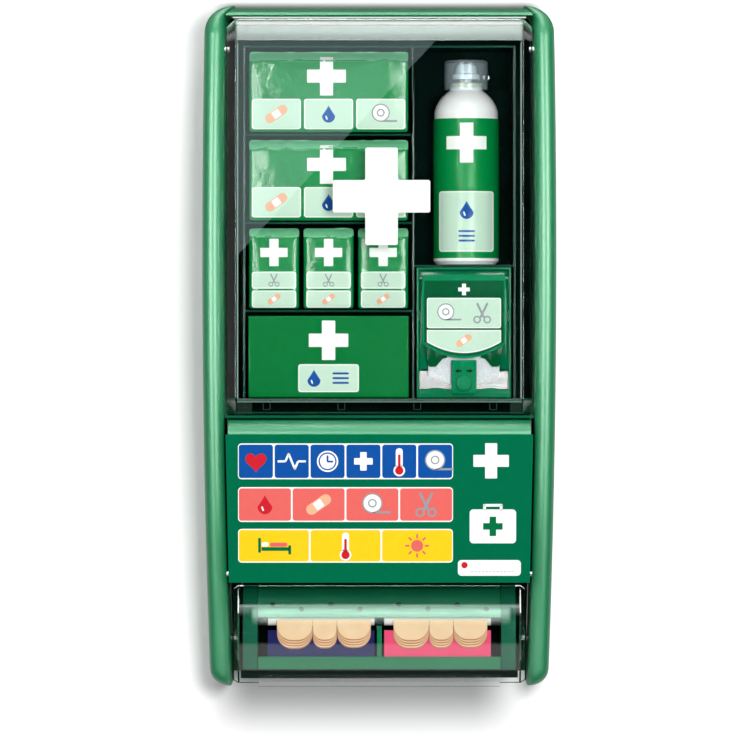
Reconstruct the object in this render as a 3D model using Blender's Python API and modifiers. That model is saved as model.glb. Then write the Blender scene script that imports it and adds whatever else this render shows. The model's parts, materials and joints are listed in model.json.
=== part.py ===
# Wall-mounted first-aid station: green cabinet, clear upper door, printed flap and clear plaster cover.
# Metres, +Z up. The front faces -Y and the wall is the plane Y = 0.

import math

import bmesh
import bpy
from mathutils import Euler, Matrix, Vector

# Cabinet
CABINET_WIDTH = 0.290
CABINET_HEIGHT = 0.560
SIDE_DEPTH = 0.112
SIDE_WIDTH = 0.0168
SIDE_NOSE = 0.0075            # half-round front edge of a side
SIDE_TOP_CORNER = 0.023       # outer corner seen from the front
SIDE_BOTTOM_CORNER = 0.0145
SIDE_TOP_ROUND = 0.025        # front corner seen from the side
SIDE_BOTTOM_ROUND = 0.012
SIDE_HOOK_HEIGHT = 0.009      # the top of a side reaches over the roof's end
SIDE_HOOK_WIDTH = 0.007
SIDE_SWELL = 0.00606          # the sides draw in this much at the bottom
SIDE_BOW_CENTRE = 0.080
FRONT_LEAN = 0.0272           # the front leans back this much at the bottom
FRONT_BOW_CENTRE = 0.060
BACK_THICKNESS = 0.003
SHEET = 0.0024                # moulded green walls
CLEAR_SHEET = 0.002           # moulded clear walls

# Fits
GAP = 0.0003                  # between fixed pieces and round pins
RUN = 0.0012                  # between a moving piece and its neighbours

# Sections from the bottom up
PLASTER_SECTION = 0.0845
FLAP_SECTION = 0.136
SHELF_SETBACK = 0.024         # middle shelf behind the door's front
PIN_RADIUS = 0.0025
PIN_LENGTH = 0.0145

# Upper door and roof
DOOR_FRONT = 0.120
DOOR_AXIS_DEPTH = 0.094
DOOR_CREASE = 0.0008
DOOR_CHAMFER = 0.0078
DOOR_CHEEK = 0.008            # reach of the cheeks behind the axis
DOOR_SKIRT = 0.011            # sloping skirt at the lower edge
DOOR_ARC_END = math.radians(70)
ROOF_ARC_START = math.radians(74)
ROOF_DROP = 0.0025
ROOF_SLOPE = 0.024
ROOF_GAP = 0.0018
ROOF_RISE = 0.0035

# Liner with its cells
LINER_SIDE_GAP = 0.0143
LINER_TOP_RISE = 0.005
LINER_BOTTOM_GAP = 0.012
LINER_RIM_CLEARANCE = 0.0032
LINER_WALL = 0.002
RIGHT_BAY = 0.0817
ROWS = 4
FOAM_BAY = 0.108

# Flap in the middle
FLAP_RECESS = 0.002
FLAP_LEDGE = 0.0118
FLAP_INSET = 0.002            # the flap is narrower than its printed plate
FLAP_DEPTH = 0.024
FLAP_AXIS_BACK = 0.0048       # axis behind the lower front edge
FLAP_AXIS_RISE = 0.006
FLAP_SWING = 0.012            # room behind the axis for the turning edge
PLATE_THICKNESS = 0.0010

# Plaster cover
COVER_AXIS_DEPTH = 0.032
COVER_AXIS_RISE = 0.038
COVER_RADIUS = 0.060
COVER_CHAMFER = 0.0045
COVER_TOP_GAP = 0.0019        # below the lower shelf
COVER_BOSS = 0.007
LIP_INSET = 0.022             # lip short of the cover's ends
LIP_DROP = 0.0027             # lip below the sheet's edge
LIP_REACH = 0.007

# Plaster dispenser behind the cover
DRUM_OFFSET = 0.013           # drum centre, in front of and above the cover's axis
DRUM_RADIUS = 0.030
DRUM_SHIELD_DROP = 0.005      # lower edge of the shield, above the drum's centre
DRUM_SIDE_GAP = 0.0066        # end blocks inside the cover's cheeks
END_WIDTH = 0.012
END_PROUD = 0.002
TRAY_DROP = 0.035             # tray floor below the drum's centre
TRAY_LIP = 0.008
HOLE_RADIUS = 0.0022
HOLE_COUNT = 4                # in each half of the shield
HOLE_ANGLES = (math.radians(31), math.radians(23))
DIVIDER_WIDTH = 0.004
CARD_HEIGHT = 0.029
CARD_THICKNESS = 0.0015
ROLL_RADIUS = 0.005
ROD_RADIUS = 0.0022
STACK_THICKNESS = 0.0035
STACK_HEIGHT = 0.024
STACK_MARGIN = 0.006
STACK_LOBES = 4

# Packs in the left cells
PACK_MARGIN = 0.0025
PACK_HEADROOM = 0.003
PACK_DEPTH = 0.066
POUCH_ROUND = 0.009
MINI_ROUND = 0.003
CARTON_ROUND = 0.0008

# Spray can
CAN_RADIUS = 0.0272
CAN_HEADROOM = 0.009
CAN_SHOULDER = 0.018
CAN_NECK_RADIUS = 0.0150
CAN_NECK = 0.002
CAN_DEPTH = 0.038
CAN_SHIFT = 0.0023
COLLAR_RADIUS = 0.0132
COLLAR_HEIGHT = 0.0035
BUTTON_RADIUS = 0.0115
BUTTON_HEIGHT = 0.0125
BUTTON_GAP = 0.003
STEM_RADIUS = 0.002
STEM_REACH = 0.0008           # rest of the stem inside the collar
CAP_RADIUS = 0.0182
CAP_WALL = 0.0011
CAP_HEIGHT = 0.0245

# Foam bandage dispenser
FOAM_MARGIN = 0.002
FOAM_WALL = 0.002
FOAM_DEPTH = 0.064
FOAM_AXIS_DROP = 0.009        # flap axis below the top of the dispenser
FOAM_AXIS_BACK = 0.004        # flap axis behind the rim
FOAM_FLAP_INSET = 0.0045
FOAM_FLAP_TOP = 0.0025        # flap edge above its axis
FOAM_FLAP_DROP = 0.054        # side corner of the flap below its axis
FOAM_FLAP_ARC = 0.012         # extra length of the flap in the middle
FOAM_FLAP_THICKNESS = 0.003
KNUCKLE_RADIUS = 0.003
FOAM_PIN_RADIUS = 0.0014
FOAM_ROLL_RADIUS = 0.021
FOAM_CORE_RADIUS = 0.004
FOAM_CORE_HEIGHT = 0.063
STRIP_THICKNESS = 0.0016
STRIP_BOTTOM = 0.010
STRIP_HEIGHT = 0.042
STRIP_INSET = 0.0075
RAIL_THICKNESS = 0.002
RAIL_SETBACK = 0.005          # rail behind the rim
RAIL_BOTTOM = 0.007
RAIL_HEIGHT = 0.015
LEDGE_HEIGHT = 0.0045
SLIDER_WIDTH = 0.0208
SLIDER_HEIGHT = 0.0285
SLIDER_THICKNESS = 0.0050
SLIDER_BOTTOM = 0.003
KNOB_RADIUS = 0.0067
KNOB_HEIGHT = 0.0055
KNOB_RISE = 0.0090
BLADE_WIDTH = 0.010
BLADE_THICKNESS = 0.0006

# Fastenings
KEYHOLE_HEAD = 0.005
KEYHOLE_SLOT = 0.0025
KEYHOLE_RISE = 0.009
KEYHOLE_SPREAD = 0.080
SCREW_HEAD_RADIUS = 0.0035
SCREW_HEAD_HEIGHT = 0.0018
SCREW_RADIUS = 0.0017
SCREW_TIP = 0.0011            # reach past the liner's back wall
SCREW_INSET = 0.022

# Reserve carton behind the flap
RESERVE_WIDTH = 0.095
RESERVE_DEPTH = 0.058
RESERVE_HEIGHT = 0.060

PLANES = {
    "side": Euler((math.pi / 2, 0, math.pi / 2)).to_matrix().to_4x4(),
    "front": Euler((math.pi / 2, 0, 0)).to_matrix().to_4x4(),
}


# Scene helpers

for old in list(bpy.data.objects):
    bpy.data.objects.remove(old, do_unlink=True)

scene = bpy.context.scene
parts = bpy.data.collections.new("first_aid_station")
cutters = bpy.data.collections.new("cutters")
scene.collection.children.link(parts)
scene.collection.children.link(cutters)


def make_material(name, colour, roughness, metallic=0.0, alpha=1.0):
    material = bpy.data.materials.new(name)
    material.use_nodes = True
    shader = material.node_tree.nodes["Principled BSDF"]
    shader.inputs["Base Color"].default_value = (*colour, 1.0)
    shader.inputs["Roughness"].default_value = roughness
    shader.inputs["Metallic"].default_value = metallic
    shader.inputs["Alpha"].default_value = alpha
    material.diffuse_color = (*colour, alpha)
    return material


green = make_material("green_plastic", (0.03, 0.27, 0.13), 0.3)
deep_green = make_material("deep_green_plastic", (0.01, 0.06, 0.03), 0.4)
clear = make_material("clear_plastic", (0.85, 0.92, 0.90), 0.05, alpha=0.35)
print_green = make_material("printed_plate", (0.0, 0.15, 0.07), 0.35)
foil = make_material("green_foil", (0.0, 0.16, 0.06), 0.25)
card_green = make_material("green_card", (0.0, 0.14, 0.05), 0.5)
card_blue = make_material("blue_card", (0.01, 0.02, 0.10), 0.5)
card_pink = make_material("pink_card", (0.70, 0.05, 0.15), 0.5)
plaster = make_material("beige_plaster", (0.75, 0.52, 0.40), 0.8)
paper = make_material("white_paper", (0.80, 0.80, 0.80), 0.7)
black = make_material("black_plastic", (0.02, 0.02, 0.02), 0.4)
white = make_material("white_plastic", (0.80, 0.80, 0.80), 0.35)
foam = make_material("white_foam", (0.82, 0.82, 0.80), 0.95)
steel = make_material("steel", (0.60, 0.60, 0.60), 0.3, 1.0)
brass = make_material("gilt_tin", (0.70, 0.50, 0.20), 0.35, 1.0)
lacquer = make_material("white_lacquer", (0.85, 0.86, 0.85), 0.25)


def to_mesh(name, shape):
    mesh = bpy.data.meshes.new(name)
    bmesh.ops.recalc_face_normals(shape, faces=shape.faces[:])
    shape.to_mesh(mesh)
    shape.free()
    return mesh


def add_part(name, mesh, material, place=(0, 0, 0), parent=None):
    part = bpy.data.objects.new(name, mesh)
    part.data.materials.append(material)
    parts.objects.link(part)
    part.location = Vector(place)
    if parent:
        part.parent = parent
        part.location = Vector(place) - parent.location
    return part


def add_axis(name, place):
    axis = bpy.data.objects.new(name, None)
    axis.empty_display_size = 0.02
    axis.location = place
    parts.objects.link(axis)
    return axis


def add_cutter(name, mesh, place=(0, 0, 0)):
    cutter = bpy.data.objects.new(name, mesh)
    cutter.display_type = "WIRE"
    cutter.hide_render = True
    cutter.location = place
    cutters.objects.link(cutter)
    return cutter


def combine(part, other, operation="DIFFERENCE"):
    change = part.modifiers.new(other.name, "BOOLEAN")
    change.solver = "EXACT"
    change.operation = operation
    change.object = other


def box_mesh(name, size, rounding=0.0, segments=2):
    shape = bmesh.new()
    bmesh.ops.create_cube(shape, size=1.0)
    bmesh.ops.scale(shape, vec=size, verts=shape.verts)
    if rounding:
        bmesh.ops.bevel(shape, geom=shape.edges[:], offset=rounding, segments=segments, profile=0.5,
                        affect="EDGES")
    return to_mesh(name, shape)


def add_box(name, x, y, z, material, rounding=0.0, segments=2, parent=None):
    size = (x[1] - x[0], y[1] - y[0], z[1] - z[0])
    centre = ((x[0] + x[1]) / 2, (y[0] + y[1]) / 2, (z[0] + z[1]) / 2)
    return add_part(name, box_mesh(name, size, rounding, segments), material, centre, parent)


def boxes_mesh(name, boxes):
    shape = bmesh.new()
    for x, y, z in boxes:
        corner = bmesh.ops.create_cube(shape, size=1.0)["verts"]
        bmesh.ops.scale(shape, vec=(x[1] - x[0], y[1] - y[0], z[1] - z[0]), verts=corner)
        middle = ((x[0] + x[1]) / 2, (y[0] + y[1]) / 2, (z[0] + z[1]) / 2)
        bmesh.ops.translate(shape, vec=middle, verts=corner)
    return to_mesh(name, shape)


def arc(centre, radius, start, end, steps):
    turn = [start + (end - start) * step / steps for step in range(steps + 1)]
    return [(centre[0] + radius * math.cos(a), centre[1] + radius * math.sin(a)) for a in turn]


def prism_mesh(name, outline, thickness, plane):
    curve = bpy.data.curves.new(name, "CURVE")
    curve.dimensions = "2D"
    curve.fill_mode = "BOTH"
    curve.extrude = thickness / 2
    spline = curve.splines.new("POLY")
    spline.points.add(len(outline) - 1)
    for point, (u, v) in zip(spline.points, outline):
        point.co = (u, v, 0, 1)
    spline.use_cyclic_u = True
    holder = bpy.data.objects.new(name, curve)
    scene.collection.objects.link(holder)
    seen = holder.evaluated_get(bpy.context.evaluated_depsgraph_get())
    flat = bpy.data.meshes.new_from_object(seen)
    bpy.data.objects.remove(holder, do_unlink=True)
    shape = bmesh.new()
    shape.from_mesh(flat)
    bmesh.ops.remove_doubles(shape, verts=shape.verts, dist=1e-6)
    bmesh.ops.dissolve_limit(shape, angle_limit=math.radians(0.5), verts=shape.verts, edges=shape.edges)
    bmesh.ops.transform(shape, matrix=PLANES[plane], verts=shape.verts)
    return to_mesh(name, shape)


def chamfered_mesh(name, outline_at, half_width, chamfer):
    # loft along X whose ends draw the front in by the chamfer
    shape = bmesh.new()
    rings = []
    full = half_width - chamfer
    for x, inset in ((-half_width, chamfer), (-full, 0), (full, 0), (half_width, chamfer)):
        rings.append([shape.verts.new((x, y, z)) for y, z in outline_at(inset)])
    for near, far in zip(rings, rings[1:]):
        for i in range(len(near)):
            j = (i + 1) % len(near)
            shape.faces.new((near[i], near[j], far[j], far[i]))
    shape.faces.new(rings[0])
    shape.faces.new(rings[-1])
    return to_mesh(name, shape)


def pin_mesh(name, radius, length, segments=20):
    shape = bmesh.new()
    bmesh.ops.create_cone(shape, cap_ends=True, segments=segments, radius1=radius, radius2=radius, depth=length)
    bmesh.ops.rotate(shape, matrix=Matrix.Rotation(math.pi / 2, 3, "Y"), verts=shape.verts)
    return to_mesh(name, shape)


def knob_mesh(name, radius, length, rounding=0.0, segments=24):
    shape = bmesh.new()
    bmesh.ops.create_cone(shape, cap_ends=True, segments=segments, radius1=radius, radius2=radius, depth=length)
    if rounding:
        rim = [e for e in shape.edges if all(v.co.z > 0 for v in e.verts)]
        bmesh.ops.bevel(shape, geom=rim, offset=rounding, segments=2, profile=0.5, affect="EDGES")
    bmesh.ops.rotate(shape, matrix=Matrix.Rotation(math.pi / 2, 3, "X"), verts=shape.verts)
    return to_mesh(name, shape)


def spun_mesh(name, profile, steps=16):
    # profile of (radius, depth) spun about Y
    shape = bmesh.new()
    points = [shape.verts.new((radius, depth, 0)) for radius, depth in profile]
    for near, far in zip(points, points[1:]):
        shape.edges.new((near, far))
    bmesh.ops.spin(shape, geom=shape.verts[:] + shape.edges[:], cent=(0, 0, 0), axis=(0, 1, 0), angle=2 * math.pi,
                   steps=steps)
    bmesh.ops.remove_doubles(shape, verts=shape.verts, dist=1e-6)
    return to_mesh(name, shape)


def joined_mesh(name, pieces):
    shape = bmesh.new()
    for mesh, place in pieces:
        mesh.transform(Matrix.Translation(place))
        shape.from_mesh(mesh)
    return to_mesh(name, shape)


def add_turned(name, profile, material, place, parent=None, steps=32):
    # profile of (radius, height) from the top to the bottom, spun about Z
    shape = bmesh.new()
    points = [shape.verts.new((radius, 0, height)) for radius, height in profile]
    for upper, lower in zip(points, points[1:]):
        shape.edges.new((upper, lower))
    mesh = bpy.data.meshes.new(name)
    shape.to_mesh(mesh)
    shape.free()
    part = add_part(name, mesh, material, place, parent)
    spin = part.modifiers.new("spin", "SCREW")
    spin.axis = "Z"
    spin.steps = steps
    spin.render_steps = steps
    spin.use_merge_vertices = True
    spin.merge_threshold = 1e-5
    spin.use_smooth_shade = True
    return part


# Shared lines of the cabinet

top = CABINET_HEIGHT / 2
bottom = -top


def corner_cut(past, radius):
    reach = min(max(past, 0.0), radius)
    return radius - math.sqrt(radius * radius - reach * reach)


def side_bow(z):
    return SIDE_SWELL * ((z - SIDE_BOW_CENTRE) / (bottom - SIDE_BOW_CENTRE)) ** 2


def inner_half(z):
    hook = min(max((z - (top - SIDE_HOOK_HEIGHT)) / SIDE_HOOK_HEIGHT, 0.0), 1.0)
    return CABINET_WIDTH / 2 - SIDE_WIDTH - side_bow(z) - SIDE_HOOK_WIDTH * hook


def outer_half(z):
    upper = corner_cut(z - (top - SIDE_TOP_CORNER), SIDE_TOP_CORNER)
    lower = corner_cut((bottom + SIDE_BOTTOM_CORNER) - z, SIDE_BOTTOM_CORNER)
    return CABINET_WIDTH / 2 - side_bow(z) - upper - lower


def side_front(z):
    upper = corner_cut(z - (top - SIDE_TOP_ROUND), SIDE_TOP_ROUND)
    lower = corner_cut((bottom + SIDE_BOTTOM_ROUND) - z, SIDE_BOTTOM_ROUND)
    lean = FRONT_LEAN * ((z - FRONT_BOW_CENTRE) / (bottom - FRONT_BOW_CENTRE)) ** 2
    return -(SIDE_DEPTH - lean - upper - lower)


def spread(mesh, half_width, inset):
    # bring the ends of a prism to the sides' inner faces, which swell and hook
    for vertex in mesh.vertices:
        vertex.co.x *= (inner_half(vertex.co.z) - inset) / half_width


lower_shelf_z = bottom + PLASTER_SECTION
lower_shelf_top = lower_shelf_z + SHEET
middle_shelf_z = lower_shelf_z + FLAP_SECTION
middle_shelf_top = middle_shelf_z + SHEET
back_front = -BACK_THICKNESS - GAP

roof_top = top - ROOF_DROP
roof_inside = roof_top - SHEET
door_reach = DOOR_FRONT - DOOR_AXIS_DEPTH
door_arc = door_reach + DOOR_CREASE
roof_radius = door_arc + ROOF_GAP
door_axis = (-DOOR_AXIS_DEPTH, roof_inside - ROOF_RISE - roof_radius)
door_half = inner_half(door_axis[1] + door_arc) - RUN
door_bottom = middle_shelf_top + RUN

flap_bottom = lower_shelf_z + RUN
front_low = side_front(flap_bottom) + FLAP_RECESS
flap_axis = (front_low + FLAP_AXIS_BACK, lower_shelf_top + FLAP_AXIS_RISE)
cover_axis = (-COVER_AXIS_DEPTH, bottom + COVER_AXIS_RISE)
cover_half = min(inner_half(bottom), inner_half(lower_shelf_z)) - RUN
cover_top_angle = math.asin((PLASTER_SECTION - COVER_AXIS_RISE - COVER_TOP_GAP) / COVER_RADIUS)
cover_bottom_angle = -math.asin((COVER_AXIS_RISE - LIP_DROP) / COVER_RADIUS)

door_hinge = add_axis("upper_door_axis", (0, *door_axis))
flap_hinge = add_axis("info_flap_axis", (0, *flap_axis))
cover_hinge = add_axis("plaster_cover_axis", (0, *cover_axis))

PIN_SOCKETS = (
    ("upper_door_pin", door_axis, door_half - CLEAR_SHEET),
    ("info_flap_pin", flap_axis, inner_half(flap_axis[1]) - RUN - FLAP_INSET - SHEET),
    ("plaster_cover_pin", cover_axis, cover_half - CLEAR_SHEET),
)


# Sides, lofted between sections that follow the swell, the lean and the rounded corners

def side_mesh(name, levels, wall, back):
    shape = bmesh.new()
    rings = []
    for z in levels:
        inner = inner_half(z) + wall
        outer = outer_half(z) - wall
        front = side_front(z) + wall
        middle = (inner + outer) / 2
        half = (outer - inner) / 2
        nose = [(middle - half * math.cos(a), front + (SIDE_NOSE - wall) * (1 - math.sin(a)))
                for a in [math.pi * s / 8 for s in range(9)]]
        section = [(inner, back)] + nose + [(outer, back)]
        rings.append([shape.verts.new((x, y, z)) for x, y in section])
    for below, above in zip(rings, rings[1:]):
        for i in range(len(below)):
            j = (i + 1) % len(below)
            shape.faces.new((below[i], below[j], above[j], above[i]))
    shape.faces.new(rings[0])
    shape.faces.new(rings[-1])
    return to_mesh(name, shape)


side_low = bottom + SIDE_BOTTOM_CORNER
side_high = top - SIDE_TOP_ROUND
straight = [side_low + (side_high - side_low) * s / 14 for s in range(15)]
low_corner = [bottom + SIDE_BOTTOM_CORNER * (1 - math.cos(math.pi / 2 * s / 6)) for s in range(6)]
high_corner = [side_high + SIDE_TOP_ROUND * math.sin(math.pi / 2 * s / 8) for s in range(1, 9)]
side_levels = sorted(low_corner + straight + high_corner + [top - SIDE_HOOK_HEIGHT])

for hand, sign in (("left", -1), ("right", 1)):
    mesh = side_mesh("side_panel_" + hand, side_levels, 0, 0)
    hollow = side_mesh("side_hollow_" + hand, straight, SHEET, SHEET)
    for shell in (mesh, hollow):
        shell.transform(Matrix.Diagonal((sign, 1, 1, 1)))
        if sign < 0:
            shell.flip_normals()
    side = add_part("side_panel_" + hand, mesh, green)
    combine(side, add_cutter("side_hollow_" + hand, hollow))
    for name, axis, start in PIN_SOCKETS:
        length = PIN_LENGTH + 2 * GAP
        socket = pin_mesh(name + "_socket_" + hand, PIN_RADIUS + GAP, length)
        middle = sign * (start - RUN + PIN_LENGTH / 2)
        combine(side, add_cutter(socket.name, socket, (middle, *axis)))
        pin = pin_mesh(name + "_" + hand, PIN_RADIUS, PIN_LENGTH)
        add_part(name + "_" + hand, pin, steel, (middle, *axis))


# Back panel with four keyholes and the liner's screw holes

back_levels = [bottom + 0.008 + (roof_inside - GAP - bottom - 0.008) * s / 14 for s in range(15)]
if back_levels[-1] > top - SIDE_HOOK_HEIGHT:
    back_levels.append(top - SIDE_HOOK_HEIGHT)
back_levels.sort()
outline = [(inner_half(z) - GAP, z) for z in back_levels]
outline += [(-x, z) for x, z in reversed(outline)]
back = add_part("back_panel", prism_mesh("back_panel", outline, BACK_THICKNESS, "front"), green,
                (0, -BACK_THICKNESS / 2, 0))

liner_top = door_axis[1] + LINER_TOP_RISE
liner_bottom = middle_shelf_top + LINER_BOTTOM_GAP
liner_half = inner_half(liner_top) - LINER_SIDE_GAP
liner_front = -(DOOR_AXIS_DEPTH - door_arc - LINER_RIM_CLEARANCE)
liner_back = back_front - LINER_WALL

keyhole = arc((0, 0), KEYHOLE_HEAD, math.pi / 2 + 0.52, math.pi * 2.5 - 0.52, 20)
keyhole += arc((0, KEYHOLE_RISE), KEYHOLE_SLOT, 0, math.pi, 8)
keyhole_top = (liner_top + roof_inside) / 2 - KEYHOLE_SLOT
keyhole_low = (lower_shelf_top + middle_shelf_z) / 2
back_holes = []
for z in (keyhole_top, keyhole_low):
    for sign in (-1, 1):
        hole = prism_mesh("keyhole", keyhole, 4 * BACK_THICKNESS, "front")
        back_holes.append((hole, (sign * KEYHOLE_SPREAD, 0, z)))


# Roof, shelves

lip = (door_axis[0] - roof_radius * math.cos(ROOF_ARC_START),
       door_axis[1] + roof_radius * math.sin(ROOF_ARC_START))
outline = [
    (0, roof_inside),
    (lip[0] + ROOF_SLOPE, roof_inside),
    lip,
    (lip[0], lip[1] + SHEET),
    (lip[0] + ROOF_SLOPE, roof_top),
    (0, roof_top),
]
mesh = prism_mesh("roof", outline, 2 * door_half, "side")
spread(mesh, door_half, GAP)
add_part("roof", mesh, green)

shelf_fronts = (
    ("middle_shelf", middle_shelf_z, -DOOR_FRONT + SHELF_SETBACK),
    ("lower_shelf", lower_shelf_z, flap_axis[0] + FLAP_SWING),
)
for name, z, front in shelf_fronts:
    outline = [(back_front, z), (front, z), (front, z + SHEET), (back_front, z + SHEET)]
    mesh = prism_mesh(name, outline, 2 * door_half, "side")
    spread(mesh, door_half, GAP)
    add_part(name, mesh, deep_green)


# Liner: a tray with four rows at the left, a tall bay and a dispenser bay at the right

cell_left = -liner_half + LINER_WALL
bay_right = liner_half - LINER_WALL
bay_left = bay_right - RIGHT_BAY
cell_right = bay_left - LINER_WALL
floor = liner_bottom + LINER_WALL
ceiling = liner_top - LINER_WALL
row_height = (ceiling - floor - (ROWS - 1) * LINER_WALL) / ROWS
row_floors = [floor + row * (row_height + LINER_WALL) for row in range(ROWS)]
bay_shelf = floor + FOAM_BAY
bay_floor = bay_shelf + LINER_WALL
cell_front = liner_front - 0.01

liner_x = (-liner_half, liner_half)
liner = add_box("liner", liner_x, (liner_front, back_front), (liner_bottom, liner_top), deep_green)
cells = [((cell_left, cell_right), (cell_front, liner_back), (z, z + row_height)) for z in row_floors]
cells.append(((bay_left, bay_right), (cell_front, liner_back), (floor, bay_shelf)))
cells.append(((bay_left, bay_right), (cell_front, liner_back), (bay_floor, ceiling)))
combine(liner, add_cutter("liner_cells", boxes_mesh("liner_cells", cells)))

screw_places = [(sign * (liner_half - SCREW_INSET), z) for sign in (-1, 1)
                for z in (floor + SCREW_INSET, ceiling - SCREW_INSET)]
for number, (x, z) in enumerate(screw_places, 1):
    name = "liner_screw_%d" % number
    shank = -liner_back + SCREW_TIP
    profile = [(0, 0), (SCREW_HEAD_RADIUS, 0), (SCREW_HEAD_RADIUS, -SCREW_HEAD_HEIGHT),
               (SCREW_RADIUS, -SCREW_HEAD_HEIGHT), (SCREW_RADIUS, -shank), (0, -shank)]
    screw = add_turned(name, profile, steel, (x, -GAP, z), steps=16)
    screw.rotation_euler = (-math.pi / 2, 0, 0)
    head_floor = -SCREW_HEAD_HEIGHT - 2 * GAP
    head_room = SCREW_HEAD_RADIUS + GAP
    profile = [(0, SCREW_HEAD_HEIGHT), (head_room, SCREW_HEAD_HEIGHT), (head_room, head_floor),
               (SCREW_RADIUS + GAP, head_floor), (SCREW_RADIUS + GAP, -2 * shank), (0, -2 * shank)]
    back_holes.append((spun_mesh(name + "_hole", profile), (x, 0, z)))
back_cutter = add_cutter("back_holes", joined_mesh("back_holes", back_holes))
combine(back, back_cutter)
combine(liner, back_cutter)


# Upper door: a clear tray that rolls under the roof on its curved top

door_back = door_axis[0] + DOOR_CHEEK


def door_line(inset, foot, arc_end):
    radius = door_arc - inset
    start = math.acos((door_reach - inset) / radius)
    crown = arc(door_axis, radius, math.pi - start, math.pi - arc_end, 6)
    front = -DOOR_FRONT + inset
    return [(front + DOOR_CHAMFER, foot), (front, foot + DOOR_SKIRT)] + crown


def door_outside(inset):
    ends = [(door_back, door_axis[1] + DOOR_CHEEK), (door_back, door_bottom)]
    return door_line(inset, door_bottom, DOOR_ARC_END) + ends


def door_inside(inset):
    line = door_line(inset + CLEAR_SHEET, door_bottom + CLEAR_SHEET, DOOR_ARC_END + 0.2)
    behind = door_back + 0.02
    return line + [(behind, roof_top + 0.02), (behind, door_bottom + CLEAR_SHEET)]


mesh = chamfered_mesh("upper_door", door_outside, door_half, DOOR_CHAMFER)
mesh.transform(Matrix.Translation((0, -door_axis[0], -door_axis[1])))
door = add_part("upper_door", mesh, clear, (0, *door_axis), door_hinge)
inner_chamfer = DOOR_CHAMFER - 0.3 * CLEAR_SHEET
mesh = chamfered_mesh("upper_door_inside", door_inside, door_half - CLEAR_SHEET, inner_chamfer)
combine(door, add_cutter("upper_door_inside", mesh))


# Flap with its ledge, and the printed plate on it

flap_top = middle_shelf_z - RUN
flap_shoulder = flap_top - FLAP_LEDGE
flap_width = inner_half(flap_shoulder) - RUN - FLAP_INSET
front_high = side_front(flap_shoulder) + FLAP_RECESS
flap_back = front_high + FLAP_DEPTH


def flap_outline(inset, behind):
    ledge = arc((front_high + FLAP_LEDGE, flap_shoulder), FLAP_LEDGE - inset, math.pi, math.pi / 2, 6)
    line = [(flap_back + behind, flap_bottom + inset), (front_low + inset, flap_bottom + inset)]
    line += ledge
    line.append((flap_back + behind, flap_top - inset))
    return line


mesh = prism_mesh("info_flap", flap_outline(0, 0), 2 * flap_width, "side")
spread(mesh, flap_width, RUN + FLAP_INSET)
mesh.transform(Matrix.Translation((0, -flap_axis[0], -flap_axis[1])))
flap = add_part("info_flap", mesh, green, (0, *flap_axis), flap_hinge)
mesh = prism_mesh("info_flap_inside", flap_outline(SHEET, 0.02), 2 * flap_width, "side")
spread(mesh, flap_width, RUN + FLAP_INSET + SHEET)
combine(flap, add_cutter("info_flap_inside", mesh))

lean = math.atan2(front_low - front_high, flap_shoulder - flap_bottom)
off = GAP / math.cos(lean)
thick = PLATE_THICKNESS / math.cos(lean)
outline = [
    (front_low - off, flap_bottom),
    (front_high - off, flap_shoulder),
    (front_high - off - thick, flap_shoulder),
    (front_low - off - thick, flap_bottom),
]
mesh = prism_mesh("printed_plate", outline, 2 * flap_width, "side")
spread(mesh, flap_width, RUN)
mesh.transform(Matrix.Translation((0, -flap_axis[0], -flap_axis[1])))
add_part("printed_plate", mesh, print_green, (0, *flap_axis), flap_hinge)


# Plaster cover: a clear drum segment with cheeks and a finger lip

def cover_point(radius, angle):
    return (cover_axis[0] - radius * math.cos(angle), cover_axis[1] + radius * math.sin(angle))


def cover_outside(inset):
    steps = 14
    sweep = cover_bottom_angle - cover_top_angle
    line = [cover_point(COVER_RADIUS - inset, cover_top_angle + sweep * s / steps) for s in range(steps + 1)]
    turn = math.pi + sweep
    return line + [cover_point(COVER_BOSS, cover_bottom_angle - math.pi / 2 - turn * s / 8) for s in range(9)]


def cover_inside(inset):
    steps = 20
    start = cover_top_angle + 0.3
    sweep = cover_bottom_angle - 0.3 - start
    line = [cover_point(COVER_RADIUS - CLEAR_SHEET - inset, start + sweep * s / steps) for s in range(steps + 1)]
    behind = cover_axis[0] + COVER_RADIUS
    return line + [(behind, cover_axis[1] - COVER_RADIUS), (behind, cover_axis[1] + COVER_RADIUS)]


mesh = chamfered_mesh("plaster_cover", cover_outside, cover_half, COVER_CHAMFER)
mesh.transform(Matrix.Translation((0, -cover_axis[0], -cover_axis[1])))
cover = add_part("plaster_cover", mesh, clear, (0, *cover_axis), cover_hinge)
inner_chamfer = COVER_CHAMFER - 0.3 * CLEAR_SHEET
mesh = chamfered_mesh("plaster_cover_inside", cover_inside, cover_half - CLEAR_SHEET, inner_chamfer)
combine(cover, add_cutter("plaster_cover_inside", mesh))
tip = cover_point(COVER_RADIUS - CLEAR_SHEET / 2, cover_bottom_angle)
lip_z = bottom
mesh = box_mesh("finger_lip", (2 * (cover_half - LIP_INSET), LIP_REACH, tip[1] + CLEAR_SHEET / 2 - lip_z))
lip_place = (0, tip[0] - LIP_REACH / 2 + CLEAR_SHEET / 2, (lip_z + tip[1] + CLEAR_SHEET / 2) / 2)
combine(cover, add_cutter("finger_lip", mesh, lip_place), "UNION")

for sign, hand in ((-1, "left"), (1, "right")):
    walls = (CLEAR_SHEET, SHEET, CLEAR_SHEET)
    for part, (name, axis, start), wall in zip((door, flap, cover), PIN_SOCKETS, walls):
        bore = pin_mesh(name + "_bore_" + hand, PIN_RADIUS + GAP, 4 * wall)
        combine(part, add_cutter(bore.name, bore, (sign * (start + wall / 2), *axis)))


# Plaster dispenser: two end blocks, a pierced shield, a tray and two refills

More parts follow.
